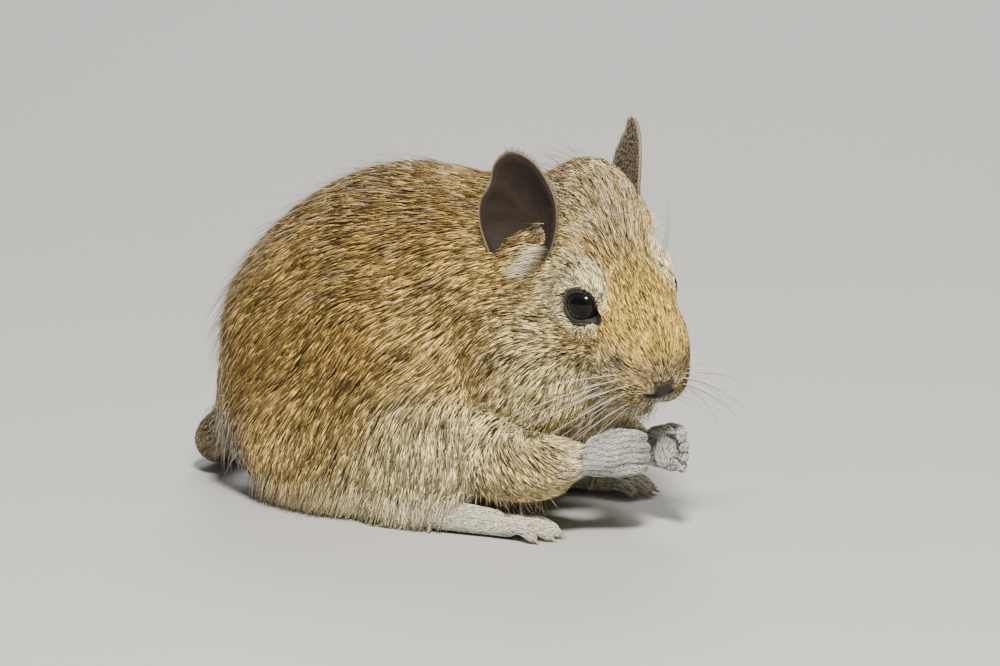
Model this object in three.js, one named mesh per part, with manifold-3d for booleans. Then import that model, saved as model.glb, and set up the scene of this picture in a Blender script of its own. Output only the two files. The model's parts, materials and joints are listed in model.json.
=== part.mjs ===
// A degu, life size, crouched on its hind feet with both forepaws held up to its mouth.
// Millimetres. +X is forward along the body, +Y is the animal's left and +Z is up, with the ground at z = 0.
// The flesh and coat are one smooth field of rounded masses, turned into a mesh and parted by thin cuts.
import * as THREE from "three";
import { mergeVertices } from "three/addons/utils/BufferGeometryUtils.js";
import Module from "manifold-3d";

const wasm = await Module();
wasm.setup();

// Driving dimensions
const GAP = 0.3; // between neighbouring pieces
const SHORTEST_EDGE = 0.12;
const BODY_STEP = 4.6; // mesh step on the body
const HEAD_STEP = 2.3; // mesh step on the head
const HEAD_AT = [42.9, -14.9, 51.8]; // midway between the eyes
const HEAD_YAW = 32; // degrees that the head turns to the animal's right
const HEAD_PITCH = 38; // degrees that the nose points down
const HEAD_ROLL = 8.5; // degrees that the head leans to the animal's right
const EYE_RADIUS = 4.3;
const EYE_AT = [0.3, 8.4, 0]; // left eye's centre from the point between the eyes: forward, left, up
const EYE_DISH_SOFT = 1.5; // rounding of the shallow dish in front of each eye
const EAR_HEIGHT = 25.8;
const EAR_THICK = 0.8;
const EAR_YAW = 22; // the ears are pricked a little back from the way that the head points
const EAR_PITCH = 46;
const EAR_ROLL = 11;
const TAIL_TUFT_LOCKS = 30;

const SIDES = { r: -1, l: 1 };
const rad = THREE.MathUtils.degToRad;
const vec = (a) => new THREE.Vector3(...a);
const mix = THREE.MathUtils.lerp;

// A frame of three axes at a point: forward, left and up
class Frame {
  constructor(at, yaw, pitch, roll = 0) {
    const turn = new THREE.Euler(rad(roll), rad(pitch), rad(-yaw), "ZYX");
    this.matrix = new THREE.Matrix4().makeRotationFromEuler(turn).setPosition(...at);
    this.inverse = this.matrix.clone().invert();
  }
  out(p) {
    return vec(p).applyMatrix4(this.matrix);
  }
  into(p) {
    return p.clone().applyMatrix4(this.inverse);
  }
}
const body = new Frame([0, 0, 0], 0, 0);
const head = new Frame(HEAD_AT, HEAD_YAW, HEAD_PITCH, HEAD_ROLL);

// Rounded masses, each a function that gives the signed distance from a point to its surface
function blob(frame, centre, radii) {
  const c = vec(centre);
  const r = vec(radii);
  return (p) => {
    const q = frame.into(p).sub(c).divide(r);
    const k0 = q.length();
    const k1 = q.divide(r).length();
    return k1 > 0 ? (k0 * (k0 - 1)) / k1 : -Math.min(...radii);
  };
}

function bone(a, b, ra, rb) {
  const start = vec(a);
  const along = vec(b).sub(start);
  const size = along.lengthSq();
  return (p) => {
    const q = p.clone().sub(start);
    const t = THREE.MathUtils.clamp(q.dot(along) / size, 0, 1);
    return q.addScaledVector(along, -t).length() - mix(ra, rb, t);
  };
}

function blend(masses, soft) {
  return (p) => {
    let d = masses[0](p);
    for (let i = 1; i < masses.length; i++) {
      const e = masses[i](p);
      const h = Math.max(soft - Math.abs(d - e), 0) / soft;
      d = Math.min(d, e) - (h * h * soft) / 4;
    }
    return d;
  };
}

const pair = (make) => Object.values(SIDES).map(make);

// The trunk, hunched over the hind feet
const core = blend(
  [
    blob(body, [-22, 0, 32], [35, 26, 33]), // rump
    blob(body, [-28.2, 0, 16], [28, 25, 19]), // rump, spread on the ground
    blob(body, [-10, 0, 44], [33, 23.5, 30]), // back
    blob(body, [13, -1, 43], [25, 20, 28]), // ribs
    blob(body, [18, -2, 51], [20, 15.5, 20]), // shoulders
    blob(body, [0, 0, 22], [34, 20, 19]), // belly
    blob(body, [29, -5, 38], [14, 14, 18]), // breast
    ...pair((s) => blob(body, [21, s * 14 - 2, 32], [11, 8, 15])), // upper arms
  ],
  9,
);
const thigh = (s) =>
  blend(
    [
      blob(body, [-13, s * 18, 27], [24, 12.5, 27]),
      blob(body, [1, s * 23, 15], [14.5, 8.8, 14.5]),
      blob(body, [-22, s * 15, 12], [22, 14, 12.5]),
    ],
    8,
  );
const trunk = blend([core, ...pair(thigh)], 5);

// The head, in its own frame: forward, left, up from the point between the eyes
const skull = blend(
  [
    blob(head, [-8, 0, -1], [17, 11, 12]), // brain case
    blob(head, [6.5, 0, 0], [14.5, 8.6, 8.5]), // forehead and bridge
    blob(head, [10.8, 0, -4.7], [11.2, 10.4, 9.2]), // muzzle
    ...pair((s) => blob(head, [-5, s * 5.5, -9], [13, 8, 9])), // cheeks
    ...pair((s) => blob(head, [14.7, s * 4.7, -9.8], [7, 5, 6.3])), // whisker pads
    ...pair((s) => blob(head, [-0.6, s * 7.8, 2.2], [6.8, 4.4, 4.8])), // brows
    blob(head, [12, 0, -15.8], [7.8, 5.6, 5.2]), // chin
  ],
  4,
);
const neck = blend(
  [
    blob(body, [25, -4, 54], [16, 13, 17]),
    blob(body, [31, -7, 44], [12, 13, 14]),
    blob(head, [-18.5, 1.5, 3.5], [14, 12, 12]), // nape
  ],
  7,
);
const dishes = pair((s) => blob(head, [EYE_AT[0] + 2.9, s * (EYE_AT[1] + 4.9), 2], [5, 5, 5]));
const around = blend([trunk, neck, skull], 6);
const flesh = (p) => {
  let d = around(p);
  for (const dish of dishes) {
    const e = -dish(p);
    const h = Math.max(EYE_DISH_SOFT - Math.abs(d - e), 0) / EYE_DISH_SOFT;
    d = Math.max(d, e) + (h * h * EYE_DISH_SOFT) / 4;
  }
  return d;
};

// The mesh of a field's zero level: one vertex in each grid cell that the surface passes through
function netOf(field, low, high, step) {
  const count = low.map((v, i) => Math.ceil((high[i] - v) / step) + 1);
  const [nx, ny, nz] = count;
  const at = (i, j, k) => (k * ny + j) * nx + i;
  const place = (i, j, k) => new THREE.Vector3(low[0] + i * step, low[1] + j * step, low[2] + k * step);
  const value = new Float64Array(nx * ny * nz);
  for (let k = 0; k < nz; k++)
    for (let j = 0; j < ny; j++)
      for (let i = 0; i < nx; i++) {
        const inner = i > 0 && j > 0 && k > 0 && i < nx - 1 && j < ny - 1 && k < nz - 1;
        value[at(i, j, k)] = inner ? field(place(i, j, k)) || 1e-9 : step;
      }
  const corners = [0, 1, 2, 3, 4, 5, 6, 7].map((c) => [c & 1, (c >> 1) & 1, c >> 2]);
  const edges = corners.flatMap((a, m) =>
    corners.flatMap((b, n) => (n > m && a.filter((v, x) => v !== b[x]).length === 1 ? [[m, n]] : [])),
  );
  const cell = new Int32Array(nx * ny * nz).fill(-1);
  const points = [];
  for (let k = 0; k < nz - 1; k++)
    for (let j = 0; j < ny - 1; j++)
      for (let i = 0; i < nx - 1; i++) {
        const v = corners.map(([a, b, c]) => value[at(i + a, j + b, k + c)]);
        const sum = new THREE.Vector3();
        let crossings = 0;
        for (const [m, n] of edges) {
          if (v[m] < 0 === v[n] < 0) continue;
          const t = v[m] / (v[m] - v[n]);
          sum.add(vec(corners[m]).lerp(vec(corners[n]), t));
          crossings++;
        }
        if (!crossings) continue;
        cell[at(i, j, k)] = points.length;
        points.push(place(i, j, k).addScaledVector(sum, step / crossings));
      }
  const settled = points.map((p) => pulledTo(field, p, step * 0.4));
  const index = [];
  const quad = (a, b, c, d, flip) => {
    const short = settled[a].distanceTo(settled[c]) < settled[b].distanceTo(settled[d]);
    const halves = short ? [[a, b, c], [a, c, d]] : [[a, b, d], [b, c, d]];
    for (const [p, q, r] of halves) index.push(...(flip ? [p, r, q] : [p, q, r]));
  };
  const axes = [[1, 0, 0], [0, 1, 0], [0, 0, 1]];
  for (let k = 0; k < nz - 1; k++)
    for (let j = 0; j < ny - 1; j++)
      for (let i = 0; i < nx - 1; i++)
        axes.forEach((step3, x) => {
          if ([i, j, k].some((n, y) => y !== x && n === 0)) return;
          const here = value[at(i, j, k)];
          const next = value[at(i + step3[0], j + step3[1], k + step3[2])];
          if (here < 0 === next < 0) return;
          const u = axes[(x + 1) % 3];
          const w = axes[(x + 2) % 3];
          const c = (m, n) => {
            const [a, b, d] = [i, j, k].map((v, y) => v - m * u[y] - n * w[y]);
            return cell[at(a, b, d)];
          };
          quad(c(1, 1), c(0, 1), c(0, 0), c(1, 0), here > 0);
        });
  const geometry = new THREE.BufferGeometry().setFromPoints(settled);
  return geometry.setIndex(index);
}

// A point moved along the field's slope onto its surface, by at most a given way
function pulledTo(field, point, most, level = 0) {
  const p = point.clone();
  for (let n = 0; n < 3; n++) {
    const slope = slopeOf(field, p);
    const size = slope.length();
    if (size < 1e-6) break;
    p.addScaledVector(slope, -(field(p) - level) / (size * size));
  }
  const moved = p.clone().sub(point);
  return point.clone().add(moved.clampLength(0, most));
}

function slopeOf(field, p) {
  const h = 0.05;
  const along = (x, y, z) => {
    const d = new THREE.Vector3(x, y, z).multiplyScalar(h);
    return (field(p.clone().add(d)) - field(p.clone().sub(d))) / (2 * h);
  };
  return new THREE.Vector3(along(1, 0, 0), along(0, 1, 0), along(0, 0, 1));
}

// Closed meshes as solids that can be joined and cut
function solid(geometry) {
  const bare = new THREE.BufferGeometry().setAttribute("position", geometry.getAttribute("position"));
  bare.setIndex(geometry.index);
  const merged = mergeVertices(bare, 1e-3);
  return new wasm.Manifold(
    new wasm.Mesh({
      numProp: 3,
      vertProperties: merged.attributes.position.array,
      triVerts: new Uint32Array(merged.index.array),
    }),
  );
}

const joined = (pieces) => pieces.reduce((a, b) => a.add(b));
const largest = (s) => s.decompose().reduce((a, b) => (a.volume() > b.volume() ? a : b));

function geometryOf(s) {
  const made = s.getMesh();
  const points = [];
  for (let i = 0; i < made.numVert; i++)
    points.push(new THREE.Vector3().fromArray(made.vertProperties, i * made.numProp));
  const faces = [];
  for (let i = 0; i < made.triVerts.length; i += 3) faces.push([...made.triVerts.subarray(i, i + 3)]);
  const kept = withoutShortEdges(points, faces);
  const geometry = new THREE.BufferGeometry().setFromPoints(points);
  return geometry.setIndex(kept.flat());
}

// The slivers that a cut leaves are closed up: both ends of each very short edge move to its middle
function withoutShortEdges(points, faces) {
  const around = points.map(() => new Set());
  faces.forEach((f) => f.forEach((v) => around[v].add(f)));
  const neighbours = (v) => new Set([...around[v]].flat().filter((w) => w !== v));
  const close = (a, b) => {
    const shared = [...neighbours(a)].filter((w) => neighbours(b).has(w));
    if (shared.length !== 2) return;
    points[a].lerp(points[b], 0.5);
    for (const f of [...around[b]]) {
      if (f.includes(a)) f.forEach((v) => around[v].delete(f));
      else {
        f[f.indexOf(b)] = a;
        around[a].add(f);
      }
    }
    around[b].clear();
  };
  for (const f of faces)
    for (let n = 0; n < 3; n++) {
      const [a, b] = [f[n], f[(n + 1) % 3]];
      if (around[a].has(f) && points[a].distanceTo(points[b]) < SHORTEST_EDGE) close(a, b);
    }
  return faces.filter((f) => around[f[0]].has(f));
}

// An ellipsoid used to mark out a region, grown or shrunk by part of the gap
function region(frame, centre, radii, grow = 0, around = 24, rings = 14) {
  const ball = new THREE.SphereGeometry(1, around, rings).scale(...radii.map((r) => r + grow));
  return solid(ball.translate(...centre).applyMatrix4(frame.matrix));
}

// A closed tube along a smooth curve. width and thick are its half sizes at each named point.
function limb({ points, width, thick = width, up = [0, 0, 1], rings = 8, sides = 8 }) {
  const curve = new THREE.CatmullRomCurve3(points.map(vec), false, "centripetal");
  const sized = (list, t) => {
    const x = t * (list.length - 1);
    const i = Math.min(Math.floor(x), list.length - 2);
    const s = x - i;
    return mix(list[i], list[i + 1], s * s * (3 - 2 * s));
  };
  const places = [];
  for (let n = 0; n <= rings; n++) {
    const t = n / rings;
    const along = curve.getTangent(t);
    const side = vec(up).cross(along).normalize();
    const over = along.clone().cross(side);
    const centre = curve.getPoint(t);
    for (let m = 0; m < sides; m++) {
      const a = (2 * Math.PI * m) / sides;
      const w = sized(width, t) * Math.cos(a);
      const h = sized(thick, t) * Math.sin(a);
      places.push(centre.clone().addScaledVector(side, w).addScaledVector(over, h));
    }
  }
  const first = places.length;
  const tip = (t, list, way) =>
    curve.getPoint(t).addScaledVector(curve.getTangent(t), way * Math.min(sized(list, t), 3) * 0.6);
  places.push(tip(0, thick, -1), tip(1, thick, 1));
  const index = [];
  for (let n = 0; n < rings; n++)
    for (let m = 0; m < sides; m++) {
      const a = n * sides + m;
      const b = n * sides + ((m + 1) % sides);
      index.push(a, b, b + sides, a, b + sides, a + sides);
    }
  for (let m = 0; m < sides; m++) {
    const n = (m + 1) % sides;
    index.push(first, n, m, first + 1, rings * sides + m, rings * sides + n);
  }
  return solid(new THREE.BufferGeometry().setFromPoints(places).setIndex(index));
}

const aboveFloor = (s) => s.trimByPlane([0, 0, 1], 0);

// The whole flesh as a coarse mesh, and the same a gap larger, to cut away from what grows on it
const BODY_LOW = [-64, -44, -8];
const BODY_HIGH = [76, 44, 96];
const whole = aboveFloor(solid(netOf(flesh, BODY_LOW, BODY_HIGH, BODY_STEP)));
const grownField = (by) => (p) => flesh(p) - by;
const wholeGrown = solid(netOf(grownField(GAP * 1.6), BODY_LOW, BODY_HIGH, BODY_STEP));

// Regions that part the whole animal
const HEAD_REGION = [head, [1, 0, -2], [26, 26, 27]];
const NECK_REGION = [head, [-3, 0, -3], [35, 31, 32]];
const thighRegion = (s) => [body, [-12, s * 30, 24], [31, 19, 32]];
const inHead = region(...HEAD_REGION, -GAP / 2);
const outOfHead = region(...HEAD_REGION, GAP / 2);

// Head
const eyeAt = (s) => [EYE_AT[0], s * EYE_AT[1], EYE_AT[2]];
const EYE_LOOK = [30, 20]; // degrees that each eye's axis turns forward and up
function eyeFrame(s) {
  const at = head.out(eyeAt(s));
  const [fore, rise] = EYE_LOOK.map(rad);
  const out = new THREE.Vector3(Math.sin(fore), s * Math.cos(fore), Math.tan(rise)).normalize();
  return { at, out: out.transformDirection(head.matrix) };
}

function eyeball(s, grow = 0, around = 16) {
  const ball = new THREE.SphereGeometry(EYE_RADIUS + grow, around, around / 2 + 2);
  return solid(ball.applyMatrix4(head.matrix.clone().multiply(new THREE.Matrix4().makeTranslation(...eyeAt(s)))));
}

const LID_SLANT = 0.25; // turn of the eye's opening, in radians

// A ring of lid that lies on the eyeball and rises from the fur round it
function lid(s) {
  const { at, out } = eyeFrame(s);
  const fore = new THREE.Vector3(1, 0, 0).transformDirection(head.matrix);
  const up = out.clone().cross(fore).normalize().multiplyScalar(s);
  const front = up.clone().cross(out).normalize().multiplyScalar(-s);
  const ring = [];
  const RING = 18;
  for (let n = 0; n < RING; n++) {
    const a = (2 * Math.PI * n) / RING;
    const open = mix(54, 70, Math.abs(Math.cos(a - LID_SLANT)));
    const around = front.clone().multiplyScalar(Math.cos(a)).addScaledVector(up, Math.sin(a));
    const way = out.clone().multiplyScalar(Math.cos(rad(open))).addScaledVector(around, Math.sin(rad(open)));
    ring.push(at.clone().addScaledVector(way, EYE_RADIUS + 0.2));
  }
  const path = new THREE.CatmullRomCurve3(ring, true);
  const section = new THREE.Shape().absarc(0, 0, 0.8, 0, 2 * Math.PI);
  const swept = { steps: RING, curveSegments: 3, extrudePath: path, bevelEnabled: false };
  const tube = new THREE.ExtrudeGeometry(section, swept);
  tube.deleteAttribute("normal");
  tube.deleteAttribute("uv");
  return solid(mergeVertices(tube, 1e-3));
}

function headPiece() {
  const low = HEAD_AT.map((v) => v - 34);
  const high = HEAD_AT.map((v) => v + 34);
  const fine = solid(netOf(flesh, low, high, HEAD_STEP));
  const onSkull = (p) => pulledTo(flesh, head.out(p), 6);
  const lips = pair((s) =>
    limb({
      points: [
        onSkull([21.5, 0, -13.8]),
        onSkull([20, s * 3.7, -15.2]),
        onSkull([15.5, s * 6.9, -15.8]),
        onSkull([9.5, s * 8.9, -15]),
      ].map((p) => p.toArray()),
      width: [0.5, 0.6, 0.6, 0.3],
      sides: 5,
      rings: 8,
    }),
  );
  const philtrum = limb({
    points: [onSkull([23, 0, -7]), onSkull([22.5, 0, -10.5]), onSkull([21.5, 0, -14.2])].map((p) => p.toArray()),
    width: [0.3, 0.45, 0.45],
    up: [0, 1, 0],
    sides: 5,
    rings: 4,
  });
  const nostrils = pair((s) => region(head, [22.2, s * 2.3, -5.4], [1.6, 1.1, 0.7], 0, 8, 6));
  const nosePad = region(head, [20.2, 0, -5.8], [2.6, 4.2, 3.2], 0, 12, 8);
  let made = fine.intersect(inHead).add(nosePad.intersect(inHead));
  made = joined([made, ...pair(lid)]);
  for (const cut of [...lips, philtrum, ...nostrils, ...pair((s) => eyeball(s, GAP))]) made = made.subtract(cut);
  return largest(made);
}

// Ears: a cup with a scalloped rim, in a frame of side (towards the front edge), up and out (the way it opens)
const EAR_RIM = [
  [3.2, -3],
  [7, 3],
  [8.6, 11],
  [7.4, 19],
  [3, 25.2],
  [-2.8, 26.4],
  [-6.6, 22.4],
  [-7.3, 17.2],
  [-9.2, 12],
  [-8.5, 5],
  [-4, -2.5],
];
const EARS = {
  r: { at: [-17.1, -15.3, -4], opens: [0.5, -0.86, 0.05], up: [-0.5, 0, 0.87] },
  l: { at: [-18.3, 11.9, -3.7], opens: [0.5, 0.86, 0.05], up: [-0.5, -0.05, 0.87] },
};
const earSet = new Frame([0, 0, 0], EAR_YAW, EAR_PITCH, EAR_ROLL);

function ear(name) {
  const { at, opens, up } = EARS[name];
  const out = vec(opens).transformDirection(earSet.matrix);
  const rise = vec(up).transformDirection(earSet.matrix);
  out.addScaledVector(rise, -rise.dot(out)).normalize();
  const side = rise.clone().cross(out).multiplyScalar(-SIDES[name]);
  const foot = head.out(at);
  const outline = new THREE.CatmullRomCurve3(
    EAR_RIM.map(([s, t]) => new THREE.Vector3(s, (t * EAR_HEIGHT) / 26.4, 0)),
    true,
  );
  const middle = new THREE.Vector3(0, EAR_HEIGHT * 0.36, 0);
  const AROUND = 26;
  const RINGS = [0, 0.3, 0.6, 0.85, 1];
  const surface = (r, n, back) => {
    const edge = outline.getPoint((n % AROUND) / AROUND);
    const p = middle.clone().lerp(edge, r);
    const cup = 5.2 * r * r - 5.2 * 0.6;
    const thick = mix(EAR_THICK * 1.5, EAR_THICK * 0.8, r);
    const depth = cup - (back ? thick : 0);
    return foot.clone().addScaledVector(side, p.x).addScaledVector(rise, p.y).addScaledVector(out, depth);
  };
  const places = [];
  for (const back of [false, true]) {
    places.push(surface(0, 0, back));
    for (const r of RINGS.slice(1)) for (let n = 0; n < AROUND; n++) places.push(surface(r, n, back));
  }
  const half = 1 + (RINGS.length - 1) * AROUND;
  const index = [];
  const mirrored = SIDES[name] > 0;
  const face = (a, b, c, back) => index.push(...(back !== mirrored ? [a, c, b] : [a, b, c]));
  for (const back of [false, true]) {
    const base = back ? half : 0;
    for (let n = 0; n < AROUND; n++) {
      const m = (n + 1) % AROUND;
      face(base, base + 1 + n, base + 1 + m, back);
      for (let q = 0; q < RINGS.length - 2; q++) {
        const a = base + 1 + q * AROUND;
        face(a + n, a + AROUND + n, a + AROUND + m, back);
        face(a + n, a + AROUND + m, a + m, back);
      }
    }
  }
  const rim = 1 + (RINGS.length - 2) * AROUND;
  for (let n = 0; n < AROUND; n++) {
    const m = (n + 1) % AROUND;
    face(rim + n, half + rim + n, half + rim + m, false);
    face(rim + n, half + rim + m, rim + m, false);
  }
  const cup = solid(new THREE.BufferGeometry().setFromPoints(places).setIndex(index));
  return cup;
}

// Limbs. Each digit is a short bent tube with a curved claw at its end.
function digit({ from, to, arch, thick, claw, clawDrop }) {
  const middle = vec(from).lerp(vec(to), 0.55).add(new THREE.Vector3(...arch));
  const toe = limb({
    points: [from, middle.toArray(), to],
    width: [thick * 1.05, thick, thick * 0.8],
    rings: 4,
    sides: 6,
  });
  const way = vec(to).sub(middle).normalize();
  const tip = vec(to).addScaledVector(way, claw).add(new THREE.Vector3(...clawDrop));
  const root = vec(to).addScaledVector(way, -thick * 0.6);
  const half = root.clone().lerp(tip, 0.55).addScaledVector(new THREE.Vector3(...clawDrop), -0.35);
  const nail = limb({
    points: [root.toArray(), half.toArray(), tip.toArray()],
    width: [thick * 0.5, thick * 0.36, 0.1],
    rings: 2,
    sides: 4,
  });
  return toe.add(nail);
}

const HIND = { heel: [-6, 25], toes: [33, 25] };
function hindFoot(s) {
  const [hx, hy] = HIND.heel;
  const [tx, ty] = HIND.toes;
  const sole = limb({
    points: [
      [hx, s * hy, 3.4],
      [mix(hx, tx, 0.3), s * mix(hy, ty, 0.3), 3.2],
      [mix(hx, tx, 0.6), s * mix(hy, ty, 0.6), 2.6],
      [mix(hx, tx, 0.78), s * mix(hy, ty, 0.78), 2],
    ],
    width: [4, 4.2, 4.6, 4.4],
    thick: [4.6, 4, 3.2, 2.4],
    rings: 6,
    sides: 10,
  });
  const toes = [];
  for (let n = 0; n < 4; n++) {
    const across = (n - 1.5) * 2.4;
    const reach = [7.4, 9.4, 9, 6.8][n];
    toes.push(
      digit({
        from: [mix(hx, tx, 0.7), s * (ty + across * 0.8), 2.2],
        to: [mix(hx, tx, 0.74) + reach, s * (ty + across * 1.35), 1.4],
        arch: [0, 0, 1.3],
        thick: 1.35,
        claw: 2.6,
        clawDrop: [0, 0, -0.5],
      }),
    );
  }
  return aboveFloor(joined([sole, ...toes]));
}

const PAW = { r: [45.5, -19.5, 19], l: [51.3, -7, 18.2] };
function forePaw(name) {
  const s = SIDES[name];
  const [x, y, z] = PAW[name];
  const palm = limb({
    points: [
      [x - 9, y + s * 4, z - 2],
      [x - 4, y + s * 2.5, z - 1],
      [x + 0.5, y, z],
    ],
    width: [3.6, 4.4, 4],
    thick: [3.8, 4.8, 4.6],
    rings: 5,
    sides: 10,
  });
  const fingers = [];
  for (let n = 0; n < 4; n++) {
    const up = (n - 1.5) * 2.3;
    fingers.push(
      digit({
        from: [x - 1, y + s * 0.5, z + up],
        to: [x + 3.4, y - s * 2.4, z + up * 0.9],
        arch: [1.6, s * 1.6, 0.3],
        thick: 1.45,
        claw: 1.6,
        clawDrop: [-0.6, 0, -0.4],
      }),
    );
  }
  return joined([palm, ...fingers]);
}

function foreLeg(name) {
  const s = SIDES[name];
  const [x, y, z] = PAW[name];
  return limb({
    points: [
      [10, s * 12 - 2, 26],
      [18, s * 20 - 2, 16],
      [mix(19, x - 9, 0.5), mix(s * 20 - 2, y + s * 4, 0.5), 15],
      [x - 8.5, y + s * 4, z - 2],
    ],
    width: [5, 8.5, 7.4, 4.6],
    thick: [5, 8, 7.6, 4.8],
    rings: 9,
    sides: 12,
  });
}

// The tail lies on the ground and curls round the far side
const TAIL = [
  [-44, 0, 18],
  [-54, 0.5, 14],
  [-61, 3, 9.5],
  [-65.5, 11, 5.6],
  [-65, 23, 4.2],
  [-57, 36, 3.9],
  [-44, 45, 3.6],
  [-28, 50, 3.4],
  [-12, 51.5, 3.2],
  [2, 50, 3],
];
const TAIL_WIDTH = [5.4, 5.1, 4.8, 4.6, 4.4, 4.1, 3.8, 3.6, 3.2, 1.8];

// Seeded numbers between 0 and 1
function randomFrom(seed) {
  let state = seed;
  return () => {
    state = (state * 1664525 + 1013904223) % 4294967296;
    return state / 4294967296;
  };
}

function tailTuft() {
  const curve = new THREE.CatmullRomCurve3(TAIL.map(vec), false, "centripetal");
  const random = randomFrom(7);
  const locks = [];
  for (let n = 0; n < TAIL_TUFT_LOCKS; n++) {
    const t = mix(0.84, 0.985, (n + 0.5) / TAIL_TUFT_LOCKS);
    const at = curve.getPoint(t);
    const along = curve.getTangent(t);
    const side = new THREE.Vector3(0, 0, 1).cross(along).normalize();
    const over = along.clone().cross(side);
    const a = n * 2.4 + random() * 0.5;
    const out = side.multiplyScalar(Math.cos(a)).addScaledVector(over, Math.sin(a));
    const long = mix(9, 12, random()) * mix(0.85, 1.15, t);
    const from = at.clone().addScaledVector(out, 0.8);
    const bend = at.clone().addScaledVector(along, long * 0.45).addScaledVector(out, 3.4);
    const tip = at.clone().addScaledVector(along, long).addScaledVector(out, 3.2 + random() * 1.4);
    for (const p of [bend, tip]) p.z = Math.max(p.z, 0.9);
    locks.push(
      limb({
        points: [from, bend, tip].map((p) => p.toArray()),
        width: [0.8, 1.3, 0.12],
        thick: [0.6, 0.55, 0.1],
        up: out.toArray(),
        rings: 3,
        sides: 3,
      }),
    );
  }
  return locks;
}

function tailWhole() {
  return limb({ points: TAIL, width: TAIL_WIDTH, rings: 40, sides: 10 });
}

// Materials
const finish = (colour, roughness) => new THREE.MeshStandardMaterial({ color: colour, roughness, metalness: 0 });
const COAT = finish(0x8f7850, 0.85);
const PALE = finish(0xc9c2b4, 0.85);
const EAR = finish(0x4a403a, 0.7);
const DARK = finish(0x0b0a0a, 0.08);
const BRUSH = finish(0x2a241f, 0.8);

const root = new THREE.Group();
const placed = new THREE.Group();
root.add(placed);

function add(name, made, material) {
  const mesh = new THREE.Mesh(geometryOf(made), material);
  mesh.name = name;
  placed.add(mesh);
}

const headSolid = headPiece();
add("head", headSolid, COAT);
for (const name of Object.keys(SIDES)) {
  const s = SIDES[name];
  add("eye_" + name, eyeball(s), DARK);
}
const headFineGrown = solid(
  netOf(
    grownField(GAP),
    HEAD_AT.map((v) => v - 34),
    HEAD_AT.map((v) => v + 34),
    HEAD_STEP,
  ),
);
for (const name of Object.keys(SIDES))
  add("ear_" + name, largest(ear(name).subtract(headFineGrown).subtract(wholeGrown)), EAR);

add("neck", largest(whole.intersect(region(...NECK_REGION, -GAP / 2)).subtract(outOfHead)), COAT);
let torso = whole.subtract(region(...NECK_REGION, GAP / 2));
for (const name of Object.keys(SIDES)) {
  const s = SIDES[name];
  const leg = whole.intersect(region(...thighRegion(s), -GAP / 2)).subtract(region(...NECK_REGION, GAP / 2));
  add("hindleg_" + name, largest(leg), COAT);
  torso = torso.subtract(region(...thighRegion(s), GAP / 2));
}
add("torso", largest(torso), COAT);

for (const name of Object.keys(SIDES)) {
  const s = SIDES[name];
  const paw = forePaw(name).subtract(wholeGrown).subtract(headFineGrown);
  const [x, y, z] = PAW[name];
  add("forefoot_" + name, largest(paw.trimByPlane([1, 0, 0], x - 7)), PALE);
  const arm = foreLeg(name).subtract(wholeGrown).subtract(headFineGrown);
  add("foreleg_" + name, largest(arm.trimByPlane([-1, 0, 0], -(x - 7 - GAP))), COAT);
  add("hindfoot_" + name, largest(hindFoot(s).subtract(wholeGrown)), PALE);
}

const tailSolid = aboveFloor(joined([tailWhole(), ...tailTuft()])).subtract(wholeGrown);
const tailCuts = [
  { at: [-66.5, 16, 0], along: [0.1, 1, 0] },
  { at: [-50, 41.5, 0], along: [0.82, 0.57, 0] },
  { at: [-20, 51, 0], along: [1, 0.1, 0] },
];
let rest = tailSolid;
tailCuts.forEach(({ at, along }, n) => {
  const way = vec(along).normalize();
  const level = vec(at).dot(way);
  add("tail_" + (n + 1), largest(rest.trimByPlane(way.clone().negate().toArray(), -(level - GAP / 2))), COAT);
  rest = rest.trimByPlane(way.toArray(), level + GAP / 2);
});
add("tail_4", largest(rest), BRUSH);

// The origin is on the ground, under the middle of the whole animal's box
const middle = new THREE.Box3().setFromObject(placed).getCenter(new THREE.Vector3());
placed.position.set(-middle.x, -middle.y, 0);

export default root;
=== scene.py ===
# A life-size degu: one skin under a coat of fine tufts, with ears, eyes, lids, claws and whiskers of its own.
# Lengths are in millimetres in the animal's own frame (+X forward, +Y its left, +Z up) until a mesh is made.
import json
import math

import bmesh
import bpy
import numpy as np
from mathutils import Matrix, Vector
from mathutils.kdtree import KDTree

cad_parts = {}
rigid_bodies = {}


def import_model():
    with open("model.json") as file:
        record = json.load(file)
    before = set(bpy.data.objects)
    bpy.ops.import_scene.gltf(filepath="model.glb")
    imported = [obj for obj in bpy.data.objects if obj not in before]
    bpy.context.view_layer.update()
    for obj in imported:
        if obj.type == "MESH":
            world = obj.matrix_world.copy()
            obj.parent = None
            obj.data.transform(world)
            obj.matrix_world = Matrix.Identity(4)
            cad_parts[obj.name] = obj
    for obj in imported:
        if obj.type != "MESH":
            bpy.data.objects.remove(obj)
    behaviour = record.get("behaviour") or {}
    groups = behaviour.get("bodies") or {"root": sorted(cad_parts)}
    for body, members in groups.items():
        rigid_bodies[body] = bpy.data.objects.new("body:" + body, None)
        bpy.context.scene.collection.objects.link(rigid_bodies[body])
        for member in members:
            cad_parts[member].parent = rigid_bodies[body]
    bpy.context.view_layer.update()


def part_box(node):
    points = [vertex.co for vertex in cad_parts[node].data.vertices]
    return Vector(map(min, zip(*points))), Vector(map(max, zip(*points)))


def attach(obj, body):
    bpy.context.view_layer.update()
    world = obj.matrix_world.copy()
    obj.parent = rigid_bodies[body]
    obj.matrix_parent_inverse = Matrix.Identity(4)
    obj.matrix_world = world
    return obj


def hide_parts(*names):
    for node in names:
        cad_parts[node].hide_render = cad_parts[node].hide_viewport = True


for leftover in list(bpy.data.objects):
    bpy.data.objects.remove(leftover)
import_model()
random = np.random.default_rng(11)


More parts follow.
